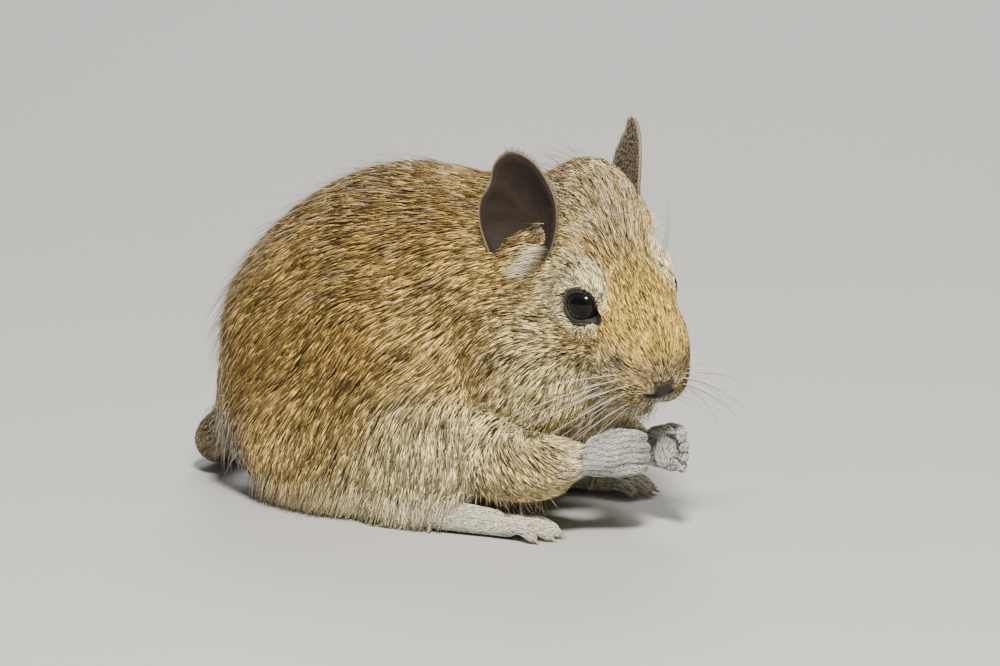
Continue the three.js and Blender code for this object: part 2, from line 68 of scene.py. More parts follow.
def turned(yaw, pitch, roll):
    """The turn by degrees about x, then y, then z."""
    (cz, sz), (cy, sy), (cx, sx) = ((math.cos(a), math.sin(a)) for a in map(math.radians, (yaw, pitch, roll)))
    z = np.array([[cz, -sz, 0], [sz, cz, 0], [0, 0, 1]])
    y = np.array([[cy, 0, sy], [0, 1, 0], [-sy, 0, cy]])
    return z @ y @ np.array([[1, 0, 0], [0, cx, -sx], [0, sx, cx]])


# The head's own frame: forward, left and up from the point midway between the eyes
HEAD_AT = np.array([42.9, -14.9, 51.8])
HEAD_TURN = turned(-32, 38, 8.5)
EAR_TURN = turned(-22, 46, 11)
EYE_RADIUS = 4.3
EYE_AT = (0.3, 8.4, 0)
EYE_LOOK = (30, 20)  # degrees ahead and up
SIDES = {"r": -1, "l": 1}


def to_head(points):
    return (points - HEAD_AT) @ HEAD_TURN


def from_head(points):
    return HEAD_AT + np.asarray(points, float) @ HEAD_TURN.T


def head_way(v):
    return np.asarray(v, float) @ HEAD_TURN.T


def unit(v):
    v = np.asarray(v, float)
    return v / np.maximum(np.linalg.norm(v, axis=-1, keepdims=True), 1e-9)


def mix(a, b, t):
    return a + (b - a) * t


def smooth(x, a, b):
    t = np.clip((x - a) / (b - a), 0, 1)
    return t * t * (3 - 2 * t)


def eye_centre(s):
    return from_head([EYE_AT[0], s * EYE_AT[1], EYE_AT[2]])


def eye_axes(s):
    """Out through the pupil, towards the front corner and up."""
    fore, rise = (math.radians(a) for a in EYE_LOOK)
    out = unit(head_way([math.sin(fore), s * math.cos(fore), math.tan(rise)]))
    ahead = head_way([1, 0, 0])
    front = unit(ahead - out * (out @ ahead))
    return out, front, np.cross(out, front) * -s


def corner_at(a):
    """The share of the front corner at an angle round the eye."""
    return np.maximum(np.cos(a - 0.2), 0) ** 14


def opening(a):
    """The half angle, in degrees, between the lids at an angle round the eye."""
    return 45.5 - 4 * np.cos(a) + 4.5 * np.sin(2 * a) + 17 * corner_at(a)


def seen_from_eye(points, s):
    """Each point's way out from an eye's centre: distance, angle off the gaze in degrees and angle round it."""
    out, front, up = eye_axes(s)
    off = points - eye_centre(s)
    far = np.linalg.norm(off, axis=1)
    off = off / far[:, None]
    return far, np.degrees(np.arccos(np.clip(off @ out, -1, 1))), np.arctan2(off @ up, off @ front)


# The row frame's origin, seen from the animal's own frame
eye_low, eye_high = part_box("eye_r")
SHIFT = (np.array(eye_low) + np.array(eye_high)) * 500 - eye_centre(-1)
SHIFT[2] = 0


def to_row(points):
    return (np.asarray(points, float) + SHIFT) / 1000


# ---- The body as a field of rounded masses, each a centre and three radii ----
def on_both(centre, radii):
    x, y, z = centre
    return [((x, -y, z), radii), ((x, y, z), radii)]


CORE = [
    ((-22, 0, 32), (35, 26, 33)),
    ((-28.2, 0, 16), (28, 25, 19)),
    ((-10, 0, 44), (33, 23.5, 30)),
    ((13, -1, 43), (25, 20, 28)),
    ((18, -2, 51), (20, 15.5, 20)),
    ((0, 0, 22), (34, 20, 19)),
    ((29, -5, 38), (14, 14, 18)),
    ((21, -16, 32), (11, 8, 15)),
    ((21, 12, 32), (11, 8, 15)),
]
NECK = [((25, -4, 54), (16, 13, 17)), ((31, -7, 44), (12, 13, 14))]
NAPE = ((-18.5, 1.5, 3.5), (14, 12, 12))
SKULL = [
    ((-8, 0, -1), (17, 11, 12)),
    ((6.5, 0, 0), (14.5, 8.6, 8.5)),
    ((10.8, 0, -4.7), (11.2, 10.4, 9.2)),
    *on_both((-5, 5.5, -9), (13, 8, 9)),
    *on_both((14.7, 4.7, -9.8), (7, 5, 6.3)),
    *on_both((-0.6, 7.8, 2.2), (6.8, 4.4, 4.8)),
    ((12, 0, -15.8), (7.8, 5.6, 5.2)),
]
EYE_DISHES = on_both((EYE_AT[0] + 2.9, EYE_AT[1] + 4.9, 2), (5, 5, 5))
NOSE_PAD = ((20.6, 0, -6.3), (2.5, 4.4, 2.6))


def thigh(s):
    return [
        ((-13, s * 18, 27), (24, 12.5, 27)),
        ((1, s * 23, 15), (14.5, 8.8, 14.5)),
        ((-22, s * 15, 12), (22, 14, 12.5)),
    ]


def ellipsoid(points, centre, radii):
    r = np.array(radii, float)
    q = (points - centre) / r
    k0 = np.sqrt((q * q).sum(1))
    k1 = np.sqrt(((q / r) ** 2).sum(1))
    return k0 * (k0 - 1) / np.maximum(k1, 1e-9)


def soft_min(a, b, soft):
    h = np.maximum(soft - np.abs(a - b), 0) / soft
    return np.minimum(a, b) - h * h * soft / 4


def soft_max(a, b, soft):
    return -soft_min(-a, -b, soft)


def blended(points, masses, soft):
    d = ellipsoid(points, *masses[0])
    for mass in masses[1:]:
        d = soft_min(d, ellipsoid(points, *mass), soft)
    return d


def envelope(points):
    """The signed distance to the coat's outer surface on the trunk, neck and head."""
    in_head = to_head(points)
    d = blended(points, CORE, 9)
    for s in SIDES.values():
        d = soft_min(d, blended(points, thigh(s), 8), 5)
    neck = soft_min(blended(points, NECK, 7), ellipsoid(in_head, *NAPE), 7)
    d = soft_min(d, neck, 6)
    d = soft_min(d, blended(in_head, SKULL, 4), 6)
    for dish in EYE_DISHES:
        d = soft_max(d, -ellipsoid(in_head, *dish), 1.5)
    return d


# ---- Legs, feet, paws and tail, each a few chains ----
def spline(a, b, c, d, t):
    return 0.5 * (2 * b + (c - a) * t + (2 * a - 5 * b + 4 * c - d) * t**2 + (3 * b - a - 3 * c + d) * t**3)


def curve_through(points, steps):
    """A smooth curve through some points, and the place along the list of each of its own points."""
    p = np.array(points, float)
    p = np.vstack([2 * p[0] - p[1], p, 2 * p[-1] - p[-2]])
    places = np.linspace(0, len(points) - 1, steps)
    i = np.minimum(places.astype(int), len(points) - 2)
    return spline(p[i], p[i + 1], p[i + 2], p[i + 3], (places - i)[:, None]), places


class Chain:
    """A rounded limb along a line of points, thick and thin by their radii."""

    def __init__(self, points, radii):
        self.points = np.array(points, float)
        self.radii = np.array(radii, float)

    def distance(self, points):
        """The distance from the limb's surface, and the way that the limb runs there."""
        best = np.full(len(points), 1e9)
        way = np.zeros((len(points), 3))
        for a, b, ra, rb in zip(self.points, self.points[1:], self.radii, self.radii[1:]):
            along = b - a
            t = np.clip((points - a) @ along / (along @ along), 0, 1)
            d = np.linalg.norm(points - a - t[:, None] * along, axis=1) - mix(ra, rb, t)
            nearer = d < best
            best[nearer] = d[nearer]
            way[nearer] = along / np.linalg.norm(along)
        return best, way


def smooth_chain(points, radii, steps):
    curve, places = curve_through(points, steps)
    return Chain(curve, np.interp(places, range(len(radii)), radii))


PAW = {"r": (45.5, -19.5, 19), "l": (51.3, -7, 18.2)}
HEEL, TOES, FOOT_Y = -6, 33, 25


def paw_chains(side):
    """Wrist, palm, four digits curled inwards and a thumb, placed from the middle of the paw."""
    s = SIDES[side]
    x, y, z = PAW[side]

    def at(ahead, out, up):
        return x + ahead, y + s * out, z + up

    chains = [
        smooth_chain([at(-10, 4.4, -2.2), at(-5, 2.9, -1.2), at(-1, 0.8, 0)], [3.3, 3.5, 3.4], 7),
        Chain([at(-5, 2.7, -3.2), at(-0.5, 0.6, -3.4)], [2.0, 1.9]),
        Chain([at(-5, 2.7, 1.6), at(-0.5, 0.6, 3.2)], [2.2, 1.9]),
        Chain([at(-1.5, -0.6, -2.4), at(-1, -0.8, 2.2)], [2.1, 2.1]),
    ]
    for n, long in enumerate((0.86, 1.0, 1.0, 0.84)):
        up = (n - 1.5) * 2.35
        line = [at(-0.8, 0.7, up), at(2.4 * long, -0.4, up * 1.04 + 0.1), at(3.9 * long, -2.9, up * 0.92 - 0.3)]
        chains.append(smooth_chain(line, [1.5, 1.42, 1.22], 7))
    chains.append(smooth_chain([at(-4, -0.2, 3), at(-1.2, -2.0, 4.3), at(1, -3, 4.2)], [1.3, 1.05, 0.9], 5))
    return chains


def foot_chains(side):
    """Sole, its two edges and four toes."""
    s = SIDES[side]
    sole = [(HEEL - 1, s * FOOT_Y, 4.0), (HEEL + 10, s * FOOT_Y, 3.5), (mix(HEEL, TOES, 0.62), s * FOOT_Y, 2.9)]
    chains = [smooth_chain(sole, [3.7, 3.2, 2.5], 8)]
    ball = mix(HEEL, TOES, 0.74)
    for edge in (-1, 1):
        inner, middle, outer = (s * (FOOT_Y + edge * y) for y in (1.6, 2, 2.2))
        line = [(HEEL + 4, inner, 3.3), (HEEL + 16, middle, 2.7), (ball, outer, 2.2)]
        chains.append(smooth_chain(line, [2.7, 2.4, 1.9], 6))
    for n, reach in enumerate((7.4, 9.4, 9, 6.8)):
        knuckle, bend, tip = (s * (FOOT_Y + (n - 1.5) * 2.4 * spread) for spread in (0.85, 1.15, 1.35))
        line = [(mix(HEEL, TOES, 0.7), knuckle, 2.3), (ball + reach * 0.5, bend, 2.7), (ball + reach - 0.4, tip, 1.35)]
        chains.append(smooth_chain(line, [1.45, 1.3, 1.15], 7))
    return chains


def arm_chains(side):
    s = SIDES[side]
    x, y, z = PAW[side]
    line = [
        (10, s * 12 - 2, 26),
        (18, s * 20 - 2, 16),
        (mix(19, x - 9, 0.5), mix(s * 20 - 2, y + s * 4, 0.5), 15),
        (x - 11, y + s * 4.6, z - 2.2),
        (x - 7, y + s * 3.6, z - 1.6),
    ]
    return [smooth_chain(line, [5, 8.3, 7.4, 4.9, 3.7], 16)]


TAIL = [
    (-44, 0, 18), (-54, 0.5, 14), (-61, 3, 9.5), (-65.5, 11, 5.6), (-65, 23, 4.2),
    (-57, 36, 3.9), (-44, 45, 3.6), (-28, 50, 3.4), (-12, 51.5, 3.2), (2, 50, 3),
]
TAIL_WIDTH = (5.4, 5.1, 4.8, 4.6, 4.4, 4.1, 3.8, 3.6, 3.2, 1.8)

# Each limb: its chains, the coat's depth on it and how softly it joins the trunk
LIMBS = {}
for side in SIDES:
    LIMBS["arm_" + side] = (arm_chains(side), 1.6, 3.0)
    LIMBS["paw_" + side] = (paw_chains(side), 0.28, 1.2)
    LIMBS["foot_" + side] = (foot_chains(side), 0.25, 1.2)
LIMBS["tail"] = ([smooth_chain(TAIL, TAIL_WIDTH, 46)], 1.1, 2.5)
ARM_PARTS, PAW_PARTS = (
    [n for n, name in enumerate(LIMBS, 1) if name.split("_")[0] in kinds] for kinds in (("arm",), ("paw", "foot"))
)
TAIL_PART = len(LIMBS)
LIMB_REACH = 6.0


def limb_box(chains):
    pts = np.vstack([c.points for c in chains])
    r = max(c.radii.max() for c in chains) + LIMB_REACH
    return pts.min(0) - r, pts.max(0) + r


LIMB_BOXES = {name: limb_box(chains) for name, (chains, _, _) in LIMBS.items()}

# ---- How the coat lies, region by region ----
GOLD = (0.68, 0.46, 0.10)
OCHRE = (0.62, 0.39, 0.10)
BUFF = (0.82, 0.58, 0.21)
CREAM = (0.98, 0.84, 0.47)
WHITE = (0.97, 0.90, 0.68)
SILVER = (0.62, 0.59, 0.53)
FROST = (0.50, 0.39, 0.20)
GREY = (0.36, 0.33, 0.28)
MOUSE = (0.27, 0.20, 0.11)
BROWN = (0.42, 0.28, 0.10)
SOOT = (0.10, 0.08, 0.065)
EAR_BACK = (0.17, 0.14, 0.105)
EYE_RING = (1.0, 0.89, 0.54)
PAW_GREY = (0.72, 0.70, 0.65)
FOOT_WHITE = (0.82, 0.77, 0.64)

# Each row: frame, place, reach, lie of the hair, its length, strand width, coat depth, pigment, share of dark tips
COAT = [
    ("body", (12, 0, 78), 15, (-1, 0, -0.1), 7.7, 0.27, 2.6, OCHRE, 0.5),
    ("body", (-12, 0, 76), 16, (-1, 0, -0.15), 8.6, 0.29, 2.8, BROWN, 0.5),
    ("body", (-38, 0, 62), 15, (-0.8, 0, -0.6), 9.5, 0.3, 3.0, OCHRE, 0.5),
    ("body", (-56, 0, 36), 14, (-0.2, 0, -1), 9.5, 0.3, 3.0, BROWN, 0.5),
    ("body", (-50, 0, 12), 12, (-0.6, 0, -0.8), 8.6, 0.3, 2.8, GREY, 0.3),
    ("pair", (-10, 20, 62), 13, (-0.9, 0, -0.45), 8.6, 0.29, 2.8, OCHRE, 0.45),
    ("pair", (10, 21, 44), 12, (-0.75, 0, -0.65), 8.2, 0.27, 2.6, BUFF, 0.35),
    ("pair", (-34, 22, 46), 12, (-0.7, 0, -0.7), 9, 0.29, 3.0, OCHRE, 0.45),
    ("pair", (-16, 30, 40), 11, (-0.6, 0, -0.8), 8.2, 0.29, 2.8, OCHRE, 0.35),
    ("pair", (-20, 31, 22), 11, (-0.45, 0, -0.9), 8.2, 0.29, 2.8, BUFF, 0.3),
    ("pair", (-12, 30, 8), 9, (-0.3, 0, -0.95), 9, 0.27, 2.6, CREAM, 0.15),
    ("pair", (4, 28, 17), 10, (-0.15, 0, -1), 9, 0.27, 2.4, CREAM, 0.1),
    ("pair", (8, 25, 7), 9, (-0.1, 0, -1), 8, 0.27, 2.2, WHITE, 0.05),
    ("body", (5, 0, 5), 14, (-1, 0, 0), 7.7, 0.29, 2.2, CREAM, 0.05),
    ("body", (40, -8, 28), 10, (-0.4, 0, -0.9), 6.9, 0.27, 2.2, CREAM, 0.1),
    ("pair", (25, 18, 50), 11, (-0.7, 0, -0.7), 7.3, 0.26, 2.4, BUFF, 0.3),
    ("pair", (26, 22, 32), 10, (-0.4, 0, -0.9), 6.9, 0.26, 2.2, CREAM, 0.15),
    ("pair", (17, 22, 16), 8, (-0.1, 0, -1), 6.5, 0.26, 2.2, CREAM, 0.1),
    ("body", (26, -18, 64), 10, (-0.85, 0, -0.5), 6.9, 0.26, 2.2, BUFF, 0.3),
    ("body", (24, 10, 66), 10, (-0.85, 0, -0.5), 6.9, 0.26, 2.2, OCHRE, 0.4),
    ("body", (44, -14, 36), 8, (-0.6, 0, -0.8), 6, 0.26, 2.0, CREAM, 0.05),
    ("head", (20.5, 0, -2.5), 3.4, (-1, 0, 0.1), 2.0, 0.17, 0.35, MOUSE, 0.35),
    ("head", (14.5, 0, 3.5), 6, (-1, 0, 0.1), 3.8, 0.23, 0.6, GOLD, 0.62),
    ("head", (6, 0, 8), 7, (-1, 0, 0.05), 4.8, 0.25, 0.9, GOLD, 0.6),
    ("head", (-4, 0, 11), 6, (-1, 0, 0), 5.4, 0.24, 1.3, FROST, 0.55),
    ("head", (-12, 0, 10), 7, (-1, 0, 0.1), 7.5, 0.26, 1.8, BROWN, 0.6),
    ("head", (-20, 0, 14), 9, (-1, 0, -0.1), 9, 0.3, 2.4, BROWN, 0.55),
    ("headpair", (-8, 9, 7), 5, (-1, 0, 0.1), 5.0, 0.25, 1.2, OCHRE, 0.5),
    ("headpair", (11, 8.5, 0), 5, (-0.95, 0, 0.2), 3.8, 0.24, 0.6, GOLD, 0.6),
    ("headpair", (15, 9.5, -6), 4.2, (-0.95, 0, 0.1), 3.2, 0.22, 0.6, CREAM, 0.4),
    ("headpair", (5, 12, -6), 5, (-0.95, 0, -0.2), 4.4, 0.24, 0.9, BUFF, 0.45),
    ("headpair", (-1, 13.5, -9), 5, (-0.95, 0, -0.3), 5.0, 0.23, 1.2, CREAM, 0.3),
    ("headpair", (-8, 14, -4), 6, (-0.95, 0, -0.3), 5.6, 0.24, 1.4, CREAM, 0.2),
    ("headpair", (-6, 13, -15), 7, (-0.8, 0, -0.6), 6.5, 0.26, 1.8, CREAM, 0.12),
    ("headpair", (-17, 13, -8), 7, (-0.8, 0, -0.6), 6.5, 0.26, 1.8, BUFF, 0.25),
    ("headpair", (19, 6.5, -8), 4, (-0.85, 0.35, -0.3), 2.4, 0.17, 0.45, BROWN, 0.4),
    ("headpair", (14, 9, -13), 5, (-0.85, 0.15, -0.5), 4.4, 0.2, 0.8, CREAM, 0.2),
    ("headpair", (20.5, 3, -11.5), 2.6, (-0.5, 0.5, -0.6), 2.0, 0.16, 0.4, SILVER, 0.15),
    ("head", (17, 0, -18), 5, (-0.7, 0, -0.6), 3.6, 0.2, 0.8, CREAM, 0.3),
    ("head", (4, 0, -22), 8, (-1, 0, -0.3), 6.5, 0.26, 1.8, CREAM, 0.0),
]
# The limbs' own: hair length, strand width, coat depth, pigment, share of dark tips
LIMB_COAT = {
    "arm": (6.0, 0.26, 1.6, *BUFF, 0.15),
    "paw": (1.3, 0.11, 0.16, *PAW_GREY, 0.0),
    "foot": (2.0, 0.14, 0.25, *FOOT_WHITE, 0.0),
    "tail": (5.0, 0.26, 1.1, *SOOT, 0.4),
}
# The columns of the numbers that coat_at and coat_values give
LIE, LENGTH, WIDTH, DEPTH, TINT, TICKED = slice(0, 3), 3, 4, 5, slice(6, 9), 9


def coat_rows():
    rows = []
    for where, at, reach, lie, length, width, depth, tint, ticked in COAT:
        for s in (1, -1) if where.endswith("pair") else (1,):
            place = np.array([at[0], s * at[1], at[2]], float)
            way = np.array([lie[0], s * lie[1], lie[2]], float)
            if where.startswith("head"):
                place, way = from_head(place), head_way(way)
            rows.append([*place, reach, *unit(way), length, width, depth, *tint, ticked])
    return np.array(rows, np.float32)


ROWS = coat_rows()
ROW_PLACES, ROW_REACH, ROW_VALUES = ROWS[:, :3], ROWS[:, 3], ROWS[:, 4:]


def coat_at(points):
    """Lie, length, width, depth, pigment and share of dark tips at each point of the trunk and head."""
    p = points.astype(np.float32)
    out = np.empty((len(p), ROW_VALUES.shape[1]), np.float32)
    batch = 100000
    for start in range(0, len(p), batch):
        part = p[start:start + batch]
        far = ((part[:, None, :] - ROW_PLACES[None]) ** 2).sum(2) / (ROW_REACH**2)
        weight = np.exp(-1.1 * (far - far.min(1, keepdims=True)))
        weight /= weight.sum(1, keepdims=True)
        out[start:start + batch] = weight @ ROW_VALUES
    return out


def eye_near(points):
    """The distance from the nearer eye's centre."""
    return np.minimum(*[np.linalg.norm(points - eye_centre(s), axis=1) for s in SIDES.values()])


def flesh_depth(points):
    depth = coat_at(points)[:, DEPTH].astype(float)
    depth *= mix(0.25, 1, smooth(eye_near(points), 5.2, 9))
    pad = ellipsoid(to_head(points), *NOSE_PAD)
    return depth * smooth(pad, 0, 2.5)


# ---- The face and the skin, as signed distances ----
def on_face(points):
    """Places given in the head's frame, moved onto the skin."""
    return to_head(settled(from_head(points), lay, 0, 4, 3))


def face_cuts():
    """The cleft under the nose, and each side's nostril and line of the mouth, as thin chains with their softness."""
    cuts = [(Chain(on_face([(23, 0, -8.3), (22.6, 0, -10.8), (21.6, 0, -14)]), [0.2, 0.32, 0.42]), 0.5)]
    for s in SIDES.values():
        hole = [(23.3, s * 0.8, -7.4), (23.0, s * 2.1, -6.6), (22.2, s * 3.5, -6.1)]
        cuts.append((Chain(hole, [0.4, 0.75, 0.45]), 0.35))
        lip = on_face([(21.6, 0, -14), (20.2, s * 3.7, -15.3), (15.6, s * 6.9, -15.8), (9.6, s * 8.9, -15)])
        cuts.append((smooth_chain(lip, [0.5, 0.6, 0.5, 0.25], 9), 0.6))
    return cuts


def face_details(points, d):
    """Nose pad, nostrils, the cleft under them, the mouth and the sockets of the eyes."""
    q = to_head(points)
    near = np.abs(q - np.array([8, 0, -4])).max(1) < 24
    if not near.any():
        return d
    q, p, e = q[near], points[near], d[near]
    e = soft_min(e, ellipsoid(q, *NOSE_PAD), 0.8)
    for s in SIDES.values():
        e = soft_min(e, ellipsoid(q, (21.5, s * 2.8, -5.6), (1.5, 1.5, 1.2)), 0.7)
        e = soft_max(e, -(np.linalg.norm(p - eye_centre(s), axis=1) - EYE_RADIUS - 0.1), 0.3)
    for cut, soft in FACE_CUTS:
        e = soft_max(e, -cut.distance(q)[0], soft)
    d = d.copy()
    d[near] = e
    return d


def skin(points, with_parts=False, details=True):
    """The signed distance to the skin, and which part each point belongs to, with the way that the limb runs."""
    d = envelope(points) + flesh_depth(points)
    if details:
        d = face_details(points, d)
    part = np.zeros(len(points), int)
    way = np.zeros((len(points), 3))
    nearest = d.copy()
    for number, (name, (chains, depth, soft)) in enumerate(LIMBS.items(), 1):
        low, high = LIMB_BOXES[name]
        near = ((points > low) & (points < high)).all(1)
        if not near.any():
            continue
        p = points[near]
        limb = np.full(len(p), 1e9)
        limb_way = np.zeros((len(p), 3))
        for chain in chains:
            e, w = chain.distance(p)
            closer = e < limb
            limb_way[closer] = w[closer]
            limb = soft_min(limb, e, 0.9) if len(chains) > 1 else e
        limb = limb + depth
        d[near] = soft_min(d[near], limb, soft)
        if with_parts:
            wins = limb < nearest[near]
            where = np.nonzero(near)[0][wins]
            part[where] = number
            way[where] = limb_way[wins]
            nearest[where] = limb[wins]
    d = soft_max(d, 0.05 - points[:, 2], 0.3)
    return (d, part, way) if with_parts else d


def lay(points):
    """The skin without the openings of the face, which the coat lies over."""
    return skin(points, details=False)


CORNERS = np.array([[1, -1, -1], [-1, -1, 1], [-1, 1, -1], [1, 1, 1]], float)


def value_and_slope(points, field, h=0.12):
    values = [field(points + h * c) for c in CORNERS]
    slope = sum(v[:, None] * c for v, c in zip(values, CORNERS)) / (4 * h)
    return sum(values) / 4, slope


def settled(points, field, level=0.0, most=1.0, times=1):
    """The points moved along the field's slope to a level of it."""
    p = points.copy()
    for _ in range(times):
        value, slope = value_and_slope(p, field)
        size = np.maximum((slope**2).sum(1), 0.25)
        step = -((value - level) / size)[:, None] * slope
        long = np.linalg.norm(step, axis=1, keepdims=True)
        p += step * np.minimum(1, most / np.maximum(long, 1e-9))
    return p


FACE_CUTS = face_cuts()
CLEFT = FACE_CUTS[0][0]
NOSTRILS = [cut for cut, _ in FACE_CUTS[1::2]]
LIPS = [cut for cut, _ in FACE_CUTS[2::2]]
NOSE_TIP = Chain(on_face([(23, 0, -8.0), (22.7, 0, -10.2), (21.8, 0, -13)]), [1.9, 1.1, 0.3])


# ---- The skin's mesh ----
def net_of(field, low, high, step, coarse=4, band=4.2):
    """Points and quads of a field's surface, each point the middle of the crossings in its cell."""
    low = np.array(low, float)
    cells = np.ceil((np.array(high) - low) / step / coarse).astype(int)
    n = cells * coarse + 1
    axes = [low[i] + step * coarse * np.arange(cells[i] + 1) for i in range(3)]
    rough = field(np.stack(np.meshgrid(*axes, indexing="ij"), -1).reshape(-1, 3)).reshape(cells + 1)
    pick = [np.minimum((np.arange(n[i]) + coarse // 2) // coarse, cells[i]) for i in range(3)]
    value = rough[np.ix_(*pick)]
    near = np.argwhere(np.abs(value) < band)
    value[tuple(near.T)] = field(low + near * step)
    inside = value < 0
    corners = np.array([(a, b, c) for a in (0, 1) for b in (0, 1) for c in (0, 1)])
    count = sum(inside[a:n[0] - 1 + a, b:n[1] - 1 + b, c:n[2] - 1 + c].astype(np.int8) for a, b, c in corners)
    active = np.argwhere((count > 0) & (count < 8))
    number = np.full(n, -1)
    number[tuple(active.T)] = np.arange(len(active))
    at_corner = np.stack([value[tuple((active + c).T)] for c in corners], 1)
    total, crossings = np.zeros((len(active), 3)), np.zeros(len(active))
    for i in range(8):
        for j in range(i + 1, 8):
            if np.abs(corners[i] - corners[j]).sum() != 1:
                continue
            a, b = at_corner[:, i], at_corner[:, j]
            cut = (a < 0) != (b < 0)
            t = np.where(cut, a / np.where(cut, a - b, 1), 0)[:, None]
            total += cut[:, None] * (corners[i] + (corners[j] - corners[i]) * t)
            crossings += cut
    points = low + step * (active + total / crossings[:, None])
    quads = []
    for x in range(3):
        u, w = np.eye(3, dtype=int)[(x + 1) % 3], np.eye(3, dtype=int)[(x + 2) % 3]
        lower, upper = [slice(1, None)] * 3, [slice(1, None)] * 3
        lower[x], upper[x] = slice(0, n[x] - 1), slice(1, n[x])
        cut = np.argwhere(inside[tuple(lower)] != inside[tuple(upper)])
        cut[:, [i for i in range(3) if i != x]] += 1
        quad = np.stack([number[tuple((cut - m * u - k * w).T)] for m, k in ((1, 1), (0, 1), (0, 0), (1, 0))], 1)
        flip = ~inside[tuple(cut.T)]
        quad[flip] = quad[flip][:, ::-1]
        quads.append(quad[(quad >= 0).all(1)])
    return points, np.concatenate(quads).tolist()


def refined(points, faces, wanted):
    """The faces of a region split into four, with their corners moved onto the skin."""
    me = bpy.data.meshes.new("rough")
    me.from_pydata(points.tolist(), [], faces)
    bm = bmesh.new()
    bm.from_mesh(me)
    bpy.data.meshes.remove(me)
    bm.verts.ensure_lookup_table()
    chosen = wanted(points)
    inner = [f for f in bm.faces if all(chosen[v.index] for v in f.verts)]
    edges = list({e for f in inner for e in f.edges})
    bmesh.ops.subdivide_edges(bm, edges=edges, cuts=1, use_grid_fill=True)
    bm.verts.index_update()
    points = np.array([v.co[:] for v in bm.verts])
    faces = [[v.index for v in f.verts] for f in bm.faces]
    bm.free()
    moved = wanted(points)
    points[moved] = settled(points[moved], skin, most=0.4)
    return points, faces


def near_details(points):
    q = to_head(points)
    face = (np.abs(q - np.array([13, 0, -7])) < 15).all(1) & (np.linalg.norm(q - np.array([9, 0, -5]), axis=1) < 20)
    for number in PAW_PARTS:
        low, high = LIMB_BOXES[list(LIMBS)[number - 1]]
        face |= ((points > low + LIMB_REACH) & (points < high - LIMB_REACH)).all(1)
    return face


def near_nose(points):
    q = to_head(points)
    nose = np.linalg.norm(q - np.array([21, 0, -9.5]), axis=1) < 8.5
    for s in SIDES.values():
        nose |= np.linalg.norm(q - np.array([EYE_AT[0] + 1, s * EYE_AT[1], 0.5]), axis=1) < 7
    return nose


SKIN_BOX = (-74, -42, -4), (64, 60, 98)
skin_points, skin_faces = net_of(skin, *SKIN_BOX, 0.8)
skin_points = settled(skin_points, skin, most=0.5)
for region in (near_details, near_nose):
    skin_points, skin_faces = refined(skin_points, skin_faces, region)


# ---- Arrays to meshes ----
def triangles_of(faces):
    return np.array([(f[0], f[i], f[i + 1]) for f in faces for i in range(1, len(f) - 1)])


skin_triangles = triangles_of(skin_faces)
skin_normals = np.zeros_like(skin_points)
tri_corners = skin_points[skin_triangles]
tri_cross = np.cross(tri_corners[:, 1] - tri_corners[:, 0], tri_corners[:, 2] - tri_corners[:, 0])
for i in range(3):
    np.add.at(skin_normals, skin_triangles[:, i], tri_cross)
skin_normals = unit(skin_normals)


def ring_faces(rings, around, flip=False, closed=False):
    """Quads between rings of points that follow each other."""
    faces = []
    for i in range(rings if closed else rings - 1):
        a, b = i * around, (i + 1) % rings * around
        for j in range(around):
            k = (j + 1) % around
            quad = (a + j, a + k, b + k, b + j)
            faces.append(quad[::-1] if flip else quad)
    return faces


def set_point_values(me, values):
    for key, v in values.items():
        v = np.asarray(v, np.float32)
        if v.ndim == 2:
            layer = me.attributes.new(key, "FLOAT_COLOR", "POINT")
            layer.data.foreach_set("color", np.hstack([v, np.ones((len(v), 1), np.float32)]).ravel())
        else:
            me.attributes.new(key, "FLOAT", "POINT").data.foreach_set("value", v)


def object_of(name, me, material):
    me.polygons.foreach_set("use_smooth", [True] * len(me.polygons))
    me.materials.append(material)
    obj = bpy.data.objects.new(name, me)
    bpy.context.scene.collection.objects.link(obj)
    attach(obj, "root")
    return obj


def mesh_object(name, points, faces, material, values=None, uv=None):
    me = bpy.data.meshes.new(name)
    me.from_pydata(to_row(points).tolist(), [], [list(map(int, f)) for f in faces])
    set_point_values(me, values or {})
    if uv is not None:
        me.uv_layers.new(name="OFBake").data.foreach_set("uv", np.asarray(uv, np.float32).ravel())
    me.update()
    return object_of(name, me, material)


# ---- The unwrap of the skin: each part laid out from its sides, body and head from six and limbs from two ----
BLOCK = 0.25
BODY_MIDDLE, BODY_SPAN = np.array([-4, 0, 42]), 118
HEAD_SPAN = 62


def unwrap(points, normals, part):
    in_head = (part == 0) & (np.linalg.norm(to_head(points) - np.array([1, 0, -2]), axis=1) < 26)
    axis = np.abs(normals).argmax(1)
    sign = (np.take_along_axis(normals, axis[:, None], 1)[:, 0] > 0).astype(int)
    flat = np.zeros((len(points), 2))
    for a in range(3):
        rest = [i for i in range(3) if i != a]
        flat[axis == a] = points[axis == a][:, rest]
        flat[axis == a] -= np.where(in_head[axis == a, None], HEAD_AT[rest], BODY_MIDDLE[rest])
    span = np.where(in_head, HEAD_SPAN, BODY_SPAN)[:, None]
    chart = axis * 2 + sign + np.where(in_head, 6, 0)
    corner = np.stack([chart % 4, chart // 4], 1) * BLOCK
    uv = corner + BLOCK * (0.5 + 0.96 * np.clip(flat / span, -0.5, 0.5))
    for number, name in enumerate(LIMBS, 1):
        here = part == number
        if not here.any():
            continue
        low, high = LIMB_BOXES[name]
        across = 2 if name.startswith("foot") or name == "tail" else 1
        rest = [i for i in range(3) if i != across]
        upper = (normals[here, across] > 0).astype(int)
        cell = (number - 1) * 2 + upper
        small = BLOCK / 2
        corner = np.stack([cell % 8, 6 + cell // 8], 1) * small
        place = (points[here][:, rest] - low[rest]) / (high - low)[rest].max()
        uv[here] = corner + small * (0.03 + 0.94 * np.clip(place, 0, 1))
    return uv


